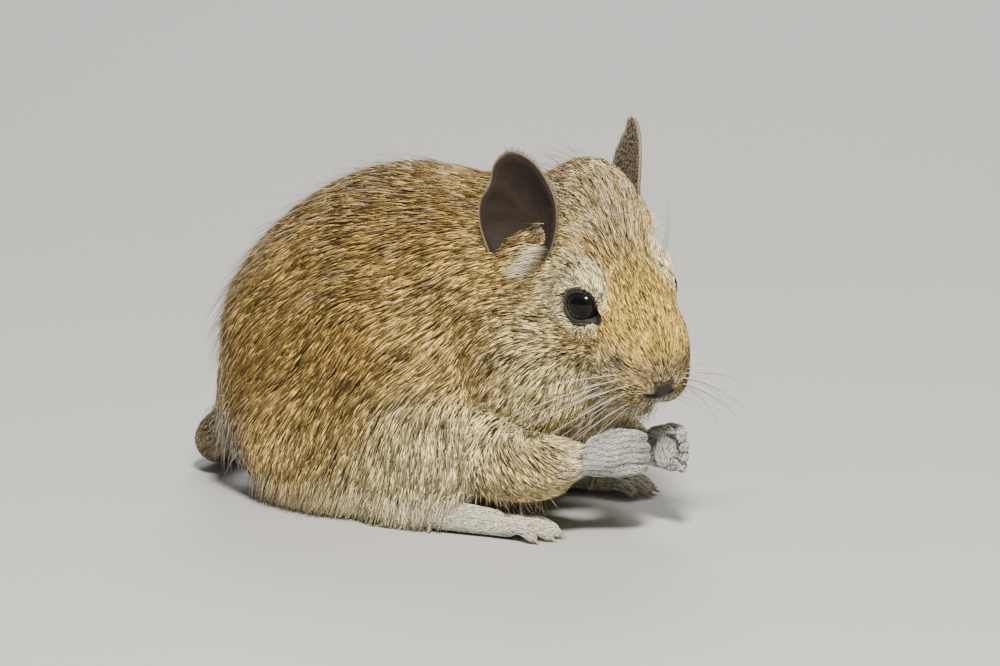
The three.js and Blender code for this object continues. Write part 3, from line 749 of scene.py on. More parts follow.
def face_unwrap(points, normals, part, faces):
    """Each face goes whole into the chart of its middle."""
    count = np.array([len(f) for f in faces])
    corners = np.concatenate([np.asarray(f) for f in faces])
    owner = np.repeat(np.arange(len(faces)), count)
    middle = np.zeros((len(faces), 3))
    np.add.at(middle, owner, normals[corners])
    first = np.concatenate([[0], np.cumsum(count)[:-1]])
    return unwrap(points[corners], unit(middle)[owner], part[corners[first]][owner])

# ---- Materials ----
def node(tree, kind, inputs=None, **settings):
    """A new node, with its settings, and with its inputs linked or set."""
    made = tree.nodes.new(kind)
    for key, value in settings.items():
        setattr(made, key, value)
    for key, value in (inputs or {}).items():
        socket = made.inputs[key]
        if hasattr(value, "is_output"):
            tree.links.new(value, socket)
        elif isinstance(value, tuple) and socket.type == "RGBA":
            socket.default_value = (*value, 1)
        else:
            socket.default_value = value
    return made


def new_material(name, rough, specular=0.5):
    m = bpy.data.materials.new(name)
    m.use_nodes = True
    shader = m.node_tree.nodes["Principled BSDF"]
    shader.inputs["Roughness"].default_value = rough
    shader.inputs["Specular IOR Level"].default_value = specular
    return m, m.node_tree, shader


def attribute(tree, name, output="Fac"):
    return node(tree, "ShaderNodeAttribute", attribute_name=name).outputs[output]


def math_node(tree, operation, *values):
    return node(tree, "ShaderNodeMath", dict(enumerate(values)), operation=operation).outputs[0]


def mixed(tree, factor, a, b, blend="MIX"):
    return node(tree, "ShaderNodeMix", {0: factor, 6: a, 7: b}, data_type="RGBA", blend_type=blend).outputs[2]


def ramp(tree, factor, *stops):
    made = node(tree, "ShaderNodeValToRGB", {0: factor})
    elements = made.color_ramp.elements
    while len(elements) < len(stops):
        elements.new(0.5)
    for element, (place, value) in zip(elements, stops):
        element.position = place
        element.color = (value, value, value, 1)
    return made.outputs[0]


def noise(tree, scale, detail=3.0):
    where = node(tree, "ShaderNodeTexCoord").outputs["Object"]
    return node(tree, "ShaderNodeTexNoise", {"Vector": where, "Scale": scale, "Detail": detail}).outputs["Fac"]


def bump(tree, shader, height, strength, distance):
    made = node(tree, "ShaderNodeBump", {"Strength": strength, "Distance": distance, "Height": height})
    tree.links.new(made.outputs[0], shader.inputs["Normal"])


def coat_material():
    """Banded hair: dark at the root, the region's pigment along the middle and some tips dark."""
    m, tree, shader = new_material("coat_hair", 0.55, 0.3)
    band, vary = attribute(tree, "band"), attribute(tree, "vary")
    shade = ramp(tree, noise(tree, 90.0, 4.0), (0.3, 0.84), (0.7, 1.14))
    level = ramp(tree, vary, (0.0, 0.06), (0.25, 0.38), (0.6, 0.98), (1.0, 1.55))
    colour = mixed(tree, 1.0, attribute(tree, "tint", "Color"), shade, "MULTIPLY")
    colour = mixed(tree, 1.0, colour, level, "MULTIPLY")
    colour = mixed(tree, ramp(tree, vary, (0.75, 0.0), (1.0, 0.45)), colour, (1.0, 0.80, 0.36))
    root = mixed(tree, 0.75, colour, (0.05, 0.038, 0.028))
    colour = mixed(tree, ramp(tree, band, (0.0, 0.0), (0.5, 1.0)), root, colour)
    dark_tip = math_node(tree, "MULTIPLY", ramp(tree, band, (0.52, 0.0), (0.9, 1.0)), attribute(tree, "ticked"))
    tree.links.new(mixed(tree, dark_tip, colour, (0.055, 0.04, 0.03)), shader.inputs["Base Color"])
    return m


def skin_material():
    """Short flat fur as bump and streaks over the pigment, painted darker as shade between the tufts; bare skin on nose
    and lips, painted near black as shade in the nostrils; and wrinkled paws, painted dark as shade in their folds.
    """
    m, tree, shader = new_material("skin", 0.5, 0.3)
    bare, fine = attribute(tree, "bare"), noise(tree, 1500.0, 4.0)
    # painted shade: the coat's pigment on the skin is streaked, and also darkened to 0.16 to 0.7 of itself as shade in
    # the gaps between the tufts
    streaks_and_gap_shade = ramp(tree, fine, (0.3, 0.16), (0.72, 0.7))
    furry = mixed(tree, 1.0, attribute(tree, "tint", "Color"), streaks_and_gap_shade, "MULTIPLY")
    where = node(tree, "ShaderNodeTexCoord").outputs["Object"]
    wave = {"Vector": where, "Scale": 260.0, "Distortion": 9.0, "Detail": 3.0, "Detail Scale": 2.2}
    lines = node(tree, "ShaderNodeTexWave", wave).outputs["Fac"]
    folds = math_node(tree, "MULTIPLY", ramp(tree, lines, (0.02, 1.0), (0.3, 0.0)), attribute(tree, "wrinkle"))
    # painted shade: the fur of paws and feet turns near black along the folds of the wrinkles
    furry = mixed(tree, folds, furry, (0.09, 0.08, 0.075))
    bald = mixed(tree, noise(tree, 160.0), (0.012, 0.009, 0.006), (0.034, 0.025, 0.017))
    # painted shade: the skin turns near black where it nears a nostril's slit
    bald = mixed(tree, attribute(tree, "hole"), bald, (0.003, 0.002, 0.002))
    tree.links.new(mixed(tree, bare, furry, bald), shader.inputs["Base Color"])
    tree.links.new(math_node(tree, "MULTIPLY_ADD", bare, -0.22, 0.78), shader.inputs["Roughness"])
    bump(tree, shader, math_node(tree, "SUBTRACT", fine, folds), 0.5, 0.0002)
    return m


def ear_material():
    m, tree, shader = new_material("ear_skin", 0.62, 0.25)
    fine = noise(tree, 1200.0, 5.0)
    # the ear's dark grey skin, painted darker still as shade; only the rim mixes towards pale
    dark = mixed(tree, noise(tree, 220.0), (0.012, 0.008, 0.006), (0.036, 0.024, 0.017))
    pale = mixed(tree, fine, (0.16, 0.12, 0.085), (0.30, 0.23, 0.16))
    tree.links.new(mixed(tree, attribute(tree, "rim"), dark, pale), shader.inputs["Base Color"])
    bump(tree, shader, fine, 0.35, 0.00015)
    return m


def eye_material():
    """Almost black, with a very dark brown iris round the pupil under a wet surface."""
    m, tree, shader = new_material("eye", 0.12, 0.1)
    iris = mixed(tree, noise(tree, 900.0), (0.004, 0.003, 0.002), (0.014, 0.009, 0.006))
    ring = ramp(tree, attribute(tree, "gaze"), (0.0, 0.0), (0.30, 0.0), (0.42, 1.0), (0.70, 1.0), (0.80, 0.0))
    tree.links.new(mixed(tree, ring, (0.0015, 0.0013, 0.0015), iris), shader.inputs["Base Color"])
    shader.inputs["Coat Weight"].default_value = 0.3
    shader.inputs["Coat Roughness"].default_value = 0.02
    return m


def lid_material():
    """Dark wet skin at the margin, pale down beyond it."""
    m, tree, shader = new_material("lid_skin", 0.6, 0.25)
    fine = noise(tree, 900.0, 4.0)
    bald = mixed(tree, fine, (0.014, 0.013, 0.015), (0.034, 0.033, 0.036))
    down = mixed(tree, fine, (0.45, 0.38, 0.26), (0.9, 0.8, 0.6))
    tree.links.new(mixed(tree, attribute(tree, "margin"), down, bald), shader.inputs["Base Color"])
    bump(tree, shader, fine, 0.3, 0.0001)
    return m


def bare_material(name, dark, pale, rough, scale, strength):
    m, tree, shader = new_material(name, rough)
    tree.links.new(mixed(tree, noise(tree, scale, 4.0), dark, pale), shader.inputs["Base Color"])
    bump(tree, shader, noise(tree, scale * 3), strength, 0.0001)
    return m


COAT_HAIR, SKIN, EAR_SKIN = coat_material(), skin_material(), ear_material()
EYE, LID = eye_material(), lid_material()
CLAW = bare_material("claw_horn", (0.16, 0.12, 0.09), (0.42, 0.35, 0.28), 0.3, 300.0, 0.2)
WHISKER = bare_material("whisker_hair", (0.48, 0.44, 0.36), (0.78, 0.74, 0.64), 0.4, 200.0, 0.1)
DARK_WHISKER = bare_material("whisker_dark", (0.02, 0.016, 0.013), (0.06, 0.048, 0.038), 0.4, 200.0, 0.1)

# ---- The skin ----
EYE_RING_AT = (-1.2, 8.4, 1.2)
WHISKER_SPOT = (18, 7.4, -1.8)
RING_STRETCH, SPOT_STRETCH = (0.8, 0.8, 0.95), (0.7, 1, 1)
DIGIT_STEP = 1.175


def coat_values(points, part, way):
    """The coat's numbers at each point, with the limbs' own."""
    values = coat_at(points).astype(float)
    for number, name in enumerate(LIMBS, 1):
        here = part == number
        if not here.any():
            continue
        kind, side = name.split("_")[0], name[-1]
        own = np.zeros((here.sum(), values.shape[1]))
        own[:, LIE] = way[here]
        own[:, LENGTH:] = LIMB_COAT[kind]
        if kind == "arm":
            x = PAW[side][0]
            wrist = smooth(points[here, 0], x - 18, x - 8)[:, None]
            own[:, TINT] = mix(mix(np.array(BUFF), CREAM, 0.55), WHITE, wrist * 0.7)
            own[:, LENGTH] = mix(5.8, 2.8, wrist[:, 0])
            own[:, DEPTH] = mix(own[:, DEPTH], 0.5, wrist[:, 0])
            own[:, LIE] = unit(mix(own[:, LIE] * 0.6 + (0, 0, -0.7), own[:, LIE], wrist))
            own = mix(values[here], own, smooth(envelope(points[here]), 0, 4.5)[:, None])
            own[:, LIE] = unit(own[:, LIE])
        elif kind == "tail":
            far = smooth(points[here, 1], -2, 20)
            own[:, TINT] = mix(np.array(MOUSE), own[:, TINT], far[:, None])
            own[:, LENGTH] = mix(6.5, 4.2, far)
        elif kind == "paw":
            # painted shade: the paw's pigment darkened to 0.4 in thin lines running forward, one every DIGIT_STEP in
            # height, for the lines between the digits
            line = points[here, 2] - PAW[side][2] + 0.3 * np.sin(0.9 * points[here, 0])
            own[:, TINT] *= mix(0.4, 1, smooth(np.abs(np.sin(math.pi * line / DIGIT_STEP)), 0.1, 0.55))[:, None]
        values[here] = own
    q = to_head(points)
    q = np.stack([q[:, 0], np.abs(q[:, 1]), q[:, 2]], 1)
    patch = (1 - smooth(np.linalg.norm((q - EYE_RING_AT) * RING_STRETCH, axis=1), 5.4, 8.0)) * smooth(q[:, 1], 5.6, 6.8)
    values[:, TINT] = mix(values[:, TINT], EYE_RING, patch[:, None] * 0.95)
    values[:, TICKED] *= 1 - 0.85 * patch
    spot = 1 - smooth(np.linalg.norm((q - WHISKER_SPOT) * SPOT_STRETCH, axis=1), 1.0, 2.4)
    values[:, TINT] = mix(values[:, TINT], SOOT, spot[:, None] * 0.8)
    return values


def coat_of(points):
    """Which part each point belongs to, and the coat's numbers there."""
    _, part, way = skin(points, with_parts=True)
    return part, coat_values(points, part, way)


def nostril_shade_at(points):
    """How near each point is to a nostril's slit, where the skin is painted near black as shade."""
    q = to_head(points)
    return 1 - smooth(np.minimum(*[cut.distance(q)[0] for cut in NOSTRILS]), 0.1, 0.8)


def bare_at(points):
    """How bare the skin is: nose pad, eye sockets, cleft and lips."""
    q = to_head(points)
    pad = 1 - smooth(ellipsoid(q, *NOSE_PAD), 0.1, 0.6)
    pad *= smooth(q[:, 2], -9.2, -8.4) * smooth(q[:, 0], 20.1, 21.1) * (1 - smooth(q[:, 2], -4.3, -3.7))
    pad = np.maximum(pad, 1 - smooth(NOSE_TIP.distance(q)[0], -0.1, 0.5))
    socket = 1 - smooth(eye_near(points), EYE_RADIUS + 0.2, EYE_RADIUS + 0.35)
    for s in SIDES.values():
        far, off, a = seen_from_eye(points, s)
        reach = EYE_RADIUS + 1 + 1.7 * corner_at(a)
        rim = (1 - smooth(off, opening(a) + 3, opening(a) + 6)) * (1 - smooth(far, reach, reach + 0.3))
        socket = np.maximum(socket, rim)
    mouth = 1 - smooth(CLEFT.distance(q)[0], 0.1, 0.5)
    for lip in LIPS:
        mouth = np.maximum(mouth, 1 - smooth(lip.distance(q)[0], 0.2, 0.8))
    return np.clip(np.maximum(np.maximum(pad, socket), mouth * 0.8), 0, 1)


skin_part, skin_values = coat_of(skin_points)
skin_bare = bare_at(skin_points)
skin_wrinkle = np.isin(skin_part, PAW_PARTS) * 0.8
skin_marks = {"tint": skin_values[:, TINT], "bare": skin_bare, "wrinkle": skin_wrinkle, "hole": nostril_shade_at(skin_points)}
skin_uv = face_unwrap(skin_points, skin_normals, skin_part, skin_faces)
skin_object = mesh_object("skin", skin_points, skin_faces, SKIN, values=skin_marks, uv=skin_uv)
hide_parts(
    "head", "neck", "torso", "hindleg_r", "hindleg_l", "foreleg_r", "foreleg_l",
    "forefoot_r", "forefoot_l", "hindfoot_r", "hindfoot_l", "tail_1", "tail_2", "tail_3", "tail_4",
)

# ---- The coat ----
TUFTS, GUARD_HAIRS, FRINGE_HAIRS, BRUSH_HAIRS = ((122000, 3200, 6500, 2200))
PIECE = 19500
LAYERS = {"arm": 1.0, "paw": 0.34, "foot": 0.36, "tail": 0.8}
ROOT_SINK, LOWEST_HAIR = 0.15, 0.15
GUARD = dict(stretch=1.4, lift=0.3, thin=0.36, pale=SILVER, drop=0.0)
FRINGE = dict(stretch=1.35, lift=0.2, thin=0.42, pale=WHITE, drop=0.5)


def roots_on_skin(wanted, weight_at):
    """Seeded points spread over the skin, with its normal there, by the weight given to each triangle."""
    tri = skin_triangles
    a, b, c = skin_points[tri[:, 0]], skin_points[tri[:, 1]], skin_points[tri[:, 2]]
    area = np.linalg.norm(np.cross(b - a, c - a), axis=1) / 2
    weight = area * weight_at(tri)
    expected = weight * wanted / weight.sum()
    count = np.floor(expected + random.random(len(tri))).astype(int)
    owner = np.repeat(np.arange(len(tri)), count)
    u, v = random.random(len(owner)), random.random(len(owner))
    over = u + v > 1
    u[over], v[over] = 1 - u[over], 1 - v[over]
    w = np.stack([1 - u - v, u, v], 1)[:, :, None]
    return (skin_points[tri[owner]] * w).sum(1), unit((skin_normals[tri[owner]] * w).sum(1))


def eye_shortening(points):
    return mix(0.4, 1, smooth(eye_near(points), 4.8, 8.5))


def hair_weight(tri):
    v = skin_values[tri].mean(1)
    first = tri[:, 0]
    weight = 1 / (v[:, LENGTH] * v[:, WIDTH] * eye_shortening(skin_points[first]) ** 1.5)
    for number, name in enumerate(LIMBS, 1):
        weight[skin_part[first] == number] *= LAYERS[name.split("_")[0]]
    under = smooth(skin_points[first, 2], 0.2, 1.2)
    return weight * (skin_bare[tri].mean(1) < 0.35) * (0.15 + 0.85 * under)


def lying(normals, way):
    """The way of the hair, laid flat on the skin."""
    return unit(way - normals * (way * normals).sum(1, keepdims=True))


def turned_about(v, axis, angle):
    c, s = np.cos(angle)[:, None], np.sin(angle)[:, None]
    return v * c + np.cross(axis, v) * s


def parted_round_eyes(roots, way):
    """The hair that points at an eye bends round it."""
    for s in SIDES.values():
        off = roots - eye_centre(s)
        far = np.linalg.norm(off, axis=1)
        off = off / far[:, None]
        facing = np.clip(0.3 - (way * off).sum(1), 0, 1.3)
        way = way + 1.8 * (facing * (1 - smooth(far, 5, 8.5)))[:, None] * off
    return way


class Tufts:
    """Each tuft is a closed flat spike: a ring of three at the root, a ring at the bend, and a tip."""
    RING = (1, -0.5), (-1, -0.5), (0, 1.0)
    THICKNESS = 0.84
    QUADS = (0, 1, 4, 3), (1, 2, 5, 4), (2, 0, 3, 5)
    TRIANGLES = (3, 4, 6), (4, 5, 6), (5, 3, 6), (2, 1, 0)
    BAND = 0, 0, 0, 0.5, 0.5, 0.5, 1.0
    UV_SPREAD = np.array([(-1, -1), (1, -1), (0, -1), (-1, 0), (1, 0), (0, 0), (0, 1)]) * 0.0015

    def __init__(self, root, bend, tip, normal, width, tint, vary, ticked, part):
        self.data = dict(
            root=root, bend=bend, tip=tip, normal=normal, width=width, tint=tint, vary=vary, ticked=ticked, part=part,
        )

    def build(self, name, slot, pick=slice(None)):
        d = {key: v[pick] for key, v in self.data.items()}
        n = len(d["root"])
        along = unit(d["tip"] - d["root"])
        side = unit(np.cross(along, d["normal"]))
        over = unit(np.cross(side, along))
        w = d["width"][:, None] / 2
        points = np.empty((n, 7, 3), np.float32)
        for k, (x, y) in enumerate(self.RING):
            shift = side * w * x + over * w * y * self.THICKNESS
            points[:, k] = d["root"] + shift * 0.75
            points[:, 3 + k] = d["bend"] + shift
        points[:, 6] = d["tip"]
        points[:, :, 2] = np.maximum(points[:, :, 2], LOWEST_HAIR)
        base = (np.arange(n) * 7)[:, None]
        corners = np.concatenate([base + np.array(f) for f in self.QUADS + self.TRIANGLES], 1).ravel()
        sizes = np.tile([len(f) for f in self.QUADS + self.TRIANGLES], n)
        me = bpy.data.meshes.new(name)
        me.vertices.add(n * 7)
        me.vertices.foreach_set("co", to_row(points.reshape(-1, 3)).astype(np.float32).ravel())
        me.loops.add(len(corners))
        me.loops.foreach_set("vertex_index", corners.astype(np.int32))
        me.polygons.add(len(sizes))
        me.polygons.foreach_set("loop_start", np.concatenate([[0], np.cumsum(sizes)[:-1]]).astype(np.int32))
        me.update(calc_edges=True)
        repeated = {key: np.repeat(d[key], 7, 0) for key in ("vary", "ticked", "tint")}
        set_point_values(me, {"band": np.tile(self.BAND, n), **repeated})
        middle = unwrap(d["root"], d["normal"], d["part"])
        uv = (middle[:, None, :] + self.UV_SPREAD[None]).reshape(-1, 2)
        me.uv_layers.new(name="OFBake").data.foreach_set("uv", uv[corners].astype(np.float32).ravel())
        return object_of(name, me, COAT_HAIR)


def clumped(roots, tip, bend, pull, size):
    """Neighbouring tips draw together."""
    leaders = np.arange(0, len(roots), size)
    tree = KDTree(len(leaders))
    for n, i in enumerate(leaders):
        tree.insert(roots[i], n)
    tree.balance()
    own = np.array([leaders[tree.find(r)[1]] for r in roots])
    tip = tip + (tip[own] + (roots - roots[own]) * 0.35 - tip) * pull
    bend = bend + (bend[own] + (roots - roots[own]) * 0.7 - bend) * pull * 0.5
    return tip, bend, own


def swirl_at(roots):
    x, y, z = roots.T
    return 0.09 * np.sin(x * 0.23 + 1.7 * np.sin(z * 0.13)) + 0.07 * np.sin(z * 0.31 + y * 0.2)


def clear_of_eyes(p):
    """The hair that would cover an eye moved out to the rim of its lids."""
    for s in SIDES.values():
        far, off, a = seen_from_eye(p, s)
        over = (far < EYE_RADIUS + 2 + 1.7 * corner_at(a)) & (off < opening(a) + 7)
        out, front, up = eye_axes(s)
        edge = np.radians(opening(a[over]) + 7)[:, None]
        radial = np.cos(a[over])[:, None] * front + np.sin(a[over])[:, None] * up
        p[over] = eye_centre(s) + (out * np.cos(edge) + radial * np.sin(edge)) * far[over, None]
        away = p - eye_centre(s)
        far = np.linalg.norm(away, axis=1, keepdims=True)
        p += away / far * np.maximum(EYE_RADIUS + 0.6 - far, 0)


def combed(wanted, weight_at):
    """Tufts that follow the skin and the lie of the coat, and an order that keeps neighbours together."""
    roots, normals = roots_on_skin(wanted, weight_at)
    shuffle = random.permutation(len(roots))
    roots, normals = roots[shuffle], normals[shuffle]
    part, values = coat_of(roots)
    count = len(roots)
    way = lying(normals, parted_round_eyes(roots, values[:, LIE]))
    way = turned_about(way, normals, swirl_at(roots) + random.normal(0, 0.1, count))
    shorter = eye_shortening(roots)
    length = values[:, LENGTH] * random.uniform(0.72, 1.2, count) * shorter
    bend = settled(roots + way * length[:, None] * 0.48, lay, 0, 3.0)
    tip = settled(roots + way * length[:, None], lay, 0, 5.0)
    slopes = [value_and_slope(p, lay)[1] for p in (bend, tip)]
    for p, slope, rise in zip((bend, tip), slopes, ((0.6, 0.85), (0.7, 1.15))):
        p += unit(slope) * (values[:, DEPTH] * random.uniform(*rise, count))[:, None]
    tip, bend, own = clumped(roots, tip, bend, 0.25, 9)
    vary = np.clip(0.5 + 1.2 * (0.8 * random.random(count) + 0.2 * random.random(count)[own] - 0.5), 0, 1)
    vary = np.where(np.isin(part, PAW_PARTS), mix(0.62, vary, 0.35), vary)
    ticked = (random.random(count) < values[:, TICKED] * 0.9) * random.uniform(0.5, 1, count)
    clear_of_eyes(bend)
    clear_of_eyes(tip)
    width = values[:, WIDTH] * np.sqrt(shorter)
    tufts = Tufts(roots - normals * ROOT_SINK, bend, tip, normals, width, values[:, TINT], vary, ticked, part)
    return tufts, np.argsort(part * 1000 + roots[:, 0], kind="stable")


def loose(wanted, weight_at, stretch, lift, thin, pale, drop):
    """Longer single hairs that stand a little off the coat; those on the arms are finer and less even."""
    roots, normals = roots_on_skin(wanted, weight_at)
    part, values = coat_of(roots)
    count = len(roots)
    way = turned_about(lying(normals, values[:, LIE]), normals, swirl_at(roots) + random.normal(0, 0.12, count))
    arm = np.isin(part, ARM_PARTS)[:, None]
    way = way * mix(1.0, 0.5, arm * (drop > 0)) + np.array([0.0, 0.0, -drop]) - arm * drop * np.array([0.5, 0.0, 0.1])
    way = unit(unit(way) + arm * random.normal(0, 0.22, (count, 3)))
    length = values[:, LENGTH] * stretch * random.uniform(0.75, 1.25, count)
    length = (length * mix(1, random.uniform(0.5, 1, count), arm[:, 0]))[:, None]
    rise = normals * lift * random.uniform(0.4, 1.2, (count, 1))
    bend = roots + (way * 0.5 + rise * 0.6) * length
    tip = roots + (way + rise * 0.75) * length
    for p in (bend, tip):
        value, slope = value_and_slope(p, lay)
        p += unit(slope) * np.maximum(values[:, DEPTH] * 0.9 - value, 0)[:, None]
    tint = mix(values[:, TINT], np.array(pale), random.uniform(0.1, 0.7, (count, 1)))
    width = values[:, WIDTH] * thin * mix(1, 0.65, arm[:, 0])
    vary = random.random(count)
    return Tufts(roots - normals * ROOT_SINK, bend, tip, normals, width, tint, vary, np.zeros(count), part)


def back_weight(tri):
    """The back, rump and sides of the trunk."""
    p, n = skin_points[tri[:, 0]], skin_normals[tri[:, 0]]
    trunk = (skin_part[tri[:, 0]] == 0) & (p[:, 0] < 34)
    return trunk * (0.05 + smooth(n[:, 2], 0.2, 0.8) + smooth(-n[:, 0], 0.4, 0.8)) * smooth(p[:, 2], 8, 20)


def hem_weight(tri):
    """The lower edge of the thighs, belly and upper arms, the throat and the crown."""
    p = skin_points[tri[:, 0]]
    x, y, z = p.T
    flesh = skin_part[tri[:, 0]] == 0
    arm = np.isin(skin_part[tri[:, 0]], ARM_PARTS)
    low = flesh * smooth(x, -46, -30) * smooth(-z, -15, -6) * smooth(z, 1.5, 4) * smooth(np.abs(y), 14, 22)
    crown = flesh * (1 - smooth(np.linalg.norm(to_head(p) - (-13, 0, 9), axis=1), 6, 11)) * 1.4
    throat = flesh * (1 - smooth(np.linalg.norm(p - (42, -16, 34), axis=1), 8, 14)) * 0.5
    under_arm = arm * smooth(-z, -18, -9) * (1 - smooth(x, 24, 31)) * 0.12
    return low + crown + throat + under_arm


def tail_brush(count):
    """Long dark hair that stands out round the tail's end."""
    curve, places = curve_through(TAIL, 200)
    share = random.uniform(0.8, 0.995, count)
    at = np.stack([np.interp(share, places / places[-1], curve[:, i]) for i in range(3)], 1)
    step = unit(np.gradient(curve, axis=0))
    along = unit(np.stack([np.interp(share, places / places[-1], step[:, i]) for i in range(3)], 1))
    side = unit(np.cross([0, 0, 1], along))
    a = random.uniform(0, 2 * math.pi, count)[:, None]
    out = side * np.cos(a) + np.cross(along, side) * np.sin(a)
    radius = np.interp(share * places[-1], range(len(TAIL_WIDTH)), TAIL_WIDTH)[:, None] * 0.5
    long = (random.uniform(7, 12, count) * mix(0.85, 1.1, share))[:, None]
    root = at + out * radius * 0.8
    bend = at + along * long * 0.45 + out * (radius + random.uniform(0.6, 2.3, (count, 1)))
    tip = at + along * long + out * random.uniform(1.2, 4.8, (count, 1))
    part = np.full(count, TAIL_PART)
    tint = np.tile(SOOT, (count, 1)) * random.uniform(0.5, 1.3, (count, 1))
    return Tufts(root, bend, tip, out, np.full(count, 0.3), tint, random.random(count), np.zeros(count), part)


coat, order = combed(TUFTS, hair_weight)
for n, pick in enumerate(np.array_split(order, max(1, math.ceil(len(order) / PIECE))), 1):
    coat.build(f"coat_{n}", "coat", pick)
loose(GUARD_HAIRS, back_weight, **GUARD).build("coat_guard_hair", "coat")
loose(FRINGE_HAIRS, hem_weight, **FRINGE).build("coat_fringe", "coat")
tail_brush(BRUSH_HAIRS).build("coat_tail_brush", "tail_brush")

# ---- Eyes and lids ----
EYE_RINGS, EYE_AROUND, EYE_BULGE = 40, 64, 0.025
LID_AROUND = 72
# The lids' cross-section: degrees beyond the opening's edge, and height over the eyeball
LID_PROFILE = [
    (38, -0.8), (31, -0.05), (22, 0.32), (15, 0.42), (10.5, 0.5), (7, 0.6),
    (3.5, 0.6), (0.5, 0.48), (-1.0, 0.2), (0, -0.05), (8, -0.8), (24, -1.4),
]


def eyeball(s):
    """A sphere that is fuller in front, and how far each point is from the line of sight, in quarter turns."""
    angle = np.pi * np.arange(EYE_RINGS + 1)[:, None, None] / EYE_RINGS
    a = 2 * np.pi * np.arange(EYE_AROUND)[:, None] / EYE_AROUND
    out, front, up = eye_axes(s)
    bulge = 1 + EYE_BULGE * smooth(np.cos(angle), 0.62, 0.95)
    way = out * np.cos(angle) + (front * np.cos(a) + up * np.sin(a)) * np.sin(angle)
    points = eye_centre(s) + way * EYE_RADIUS * bulge * 0.995
    return points.reshape(-1, 3), np.repeat(angle.ravel() / np.pi * 2, EYE_AROUND)


def lids(s):
    """A closed ring of skin round the eye, kept over the face, and how near each point is to the bare margin."""
    more, height = np.array(LID_PROFILE).T
    a = 2 * np.pi * np.arange(LID_AROUND)[:, None] / LID_AROUND
    corner = corner_at(a)
    angle = np.radians(opening(a) + more * (1 - 0.3 * corner))[..., None]
    wave = (0.05 * np.sin(9 * a) + 0.03 * np.sin(17 * a + 1)) * (height > 0.3)
    radius = (EYE_RADIUS + height + wave + 1.4 * corner * (height > 0))[..., None]
    out, front, up = eye_axes(s)
    radial = front * np.cos(a)[..., None] + up * np.sin(a)[..., None]
    points = (eye_centre(s) + (out * np.cos(angle) + radial * np.sin(angle)) * radius).reshape(-1, 3)
    above = np.where(height > 0, np.maximum(height - 0.3, -0.05), -9)
    value, slope = value_and_slope(points, lay)
    points += unit(slope) * np.clip(np.tile(above, LID_AROUND) - value, 0, 2.0)[:, None]
    margin = np.where((height < -0.02) & (more < 30), 1, 1 - smooth(more, 8.5, 12.5))
    return points, np.tile(margin, LID_AROUND)


for side, s in SIDES.items():
    points, gaze = eyeball(s)
    faces = ring_faces(EYE_RINGS + 1, EYE_AROUND, flip=s < 0)
    eye = mesh_object("eyeball_" + side, points, faces, EYE, values={"gaze": gaze})
    bm = bmesh.new()
    bm.from_mesh(eye.data)
    bmesh.ops.remove_doubles(bm, verts=bm.verts, dist=1e-6)
    bmesh.ops.recalc_face_normals(bm, faces=bm.faces)
    bm.to_mesh(eye.data)
    bm.free()
    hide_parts("eye_" + side)
    points, margin = lids(s)
    faces = ring_faces(LID_AROUND, len(LID_PROFILE), flip=s > 0, closed=True)
    mesh_object("lid_" + side, points, faces, LID, values={"margin": margin})

# ---- Ears ----
EAR_RINGS, EAR_AROUND, EAR_HEIGHT = 26, 120, 25.8
EAR_RIM = [
    (3.2, -3), (7, 3), (8.6, 11), (7.4, 19), (3, 25.2), (-2.8, 26.4),
    (-6.6, 22.4), (-7.3, 17.2), (-9.2, 12), (-8.5, 5), (-4, -2.5),
]
EAR_FOOT = {"r": (-17.1, -15.3, -4), "l": (-18.3, 11.9, -3.7)}
EAR_LEAN = {"r": 0, "l": -0.05}
# Short hair on the back, a fine pale edge, thin hair inside and a long pale tuft at the front edge. Each row: count,
# range from middle to rim, range round it, on the back or not, length, width, pigment, spread, lift,
# lie along the ear's side, its rise, its outward way and away from its middle, and droop
EAR_HAIR = [
    (4600, (0.15, 0.97), (0, EAR_AROUND), 1, 1.5, 0.12, EAR_BACK, 0.2, 0.2, (0, 1, 0, 0.5), 0),
    (500, (0.975, 1.0), (0, EAR_AROUND), 1, 0.7, 0.07, FROST, 0.35, 0.15, (0, 0.5, 0, 0.8), 0),
    (300, (0.45, 0.97), (0, EAR_AROUND), 0, 1.6, 0.045, SOOT, 0.3, 0.2, (0, 1, 0, 0.5), 0),
    (110, (0.82, 1.0), (2, 15), 0, 6.5, 0.08, WHITE, 0.28, 0.3, (-0.75, 0.35, 0.5, 0.2), 0.12),
]


def closed_curve(points, steps):
    p = np.array(points, float)
    place = np.arange(steps) * len(p) / steps
    i = place.astype(int)
    return spline(*[p[(i + k) % len(p)] for k in (-1, 0, 1, 2)], (place - i)[:, None])


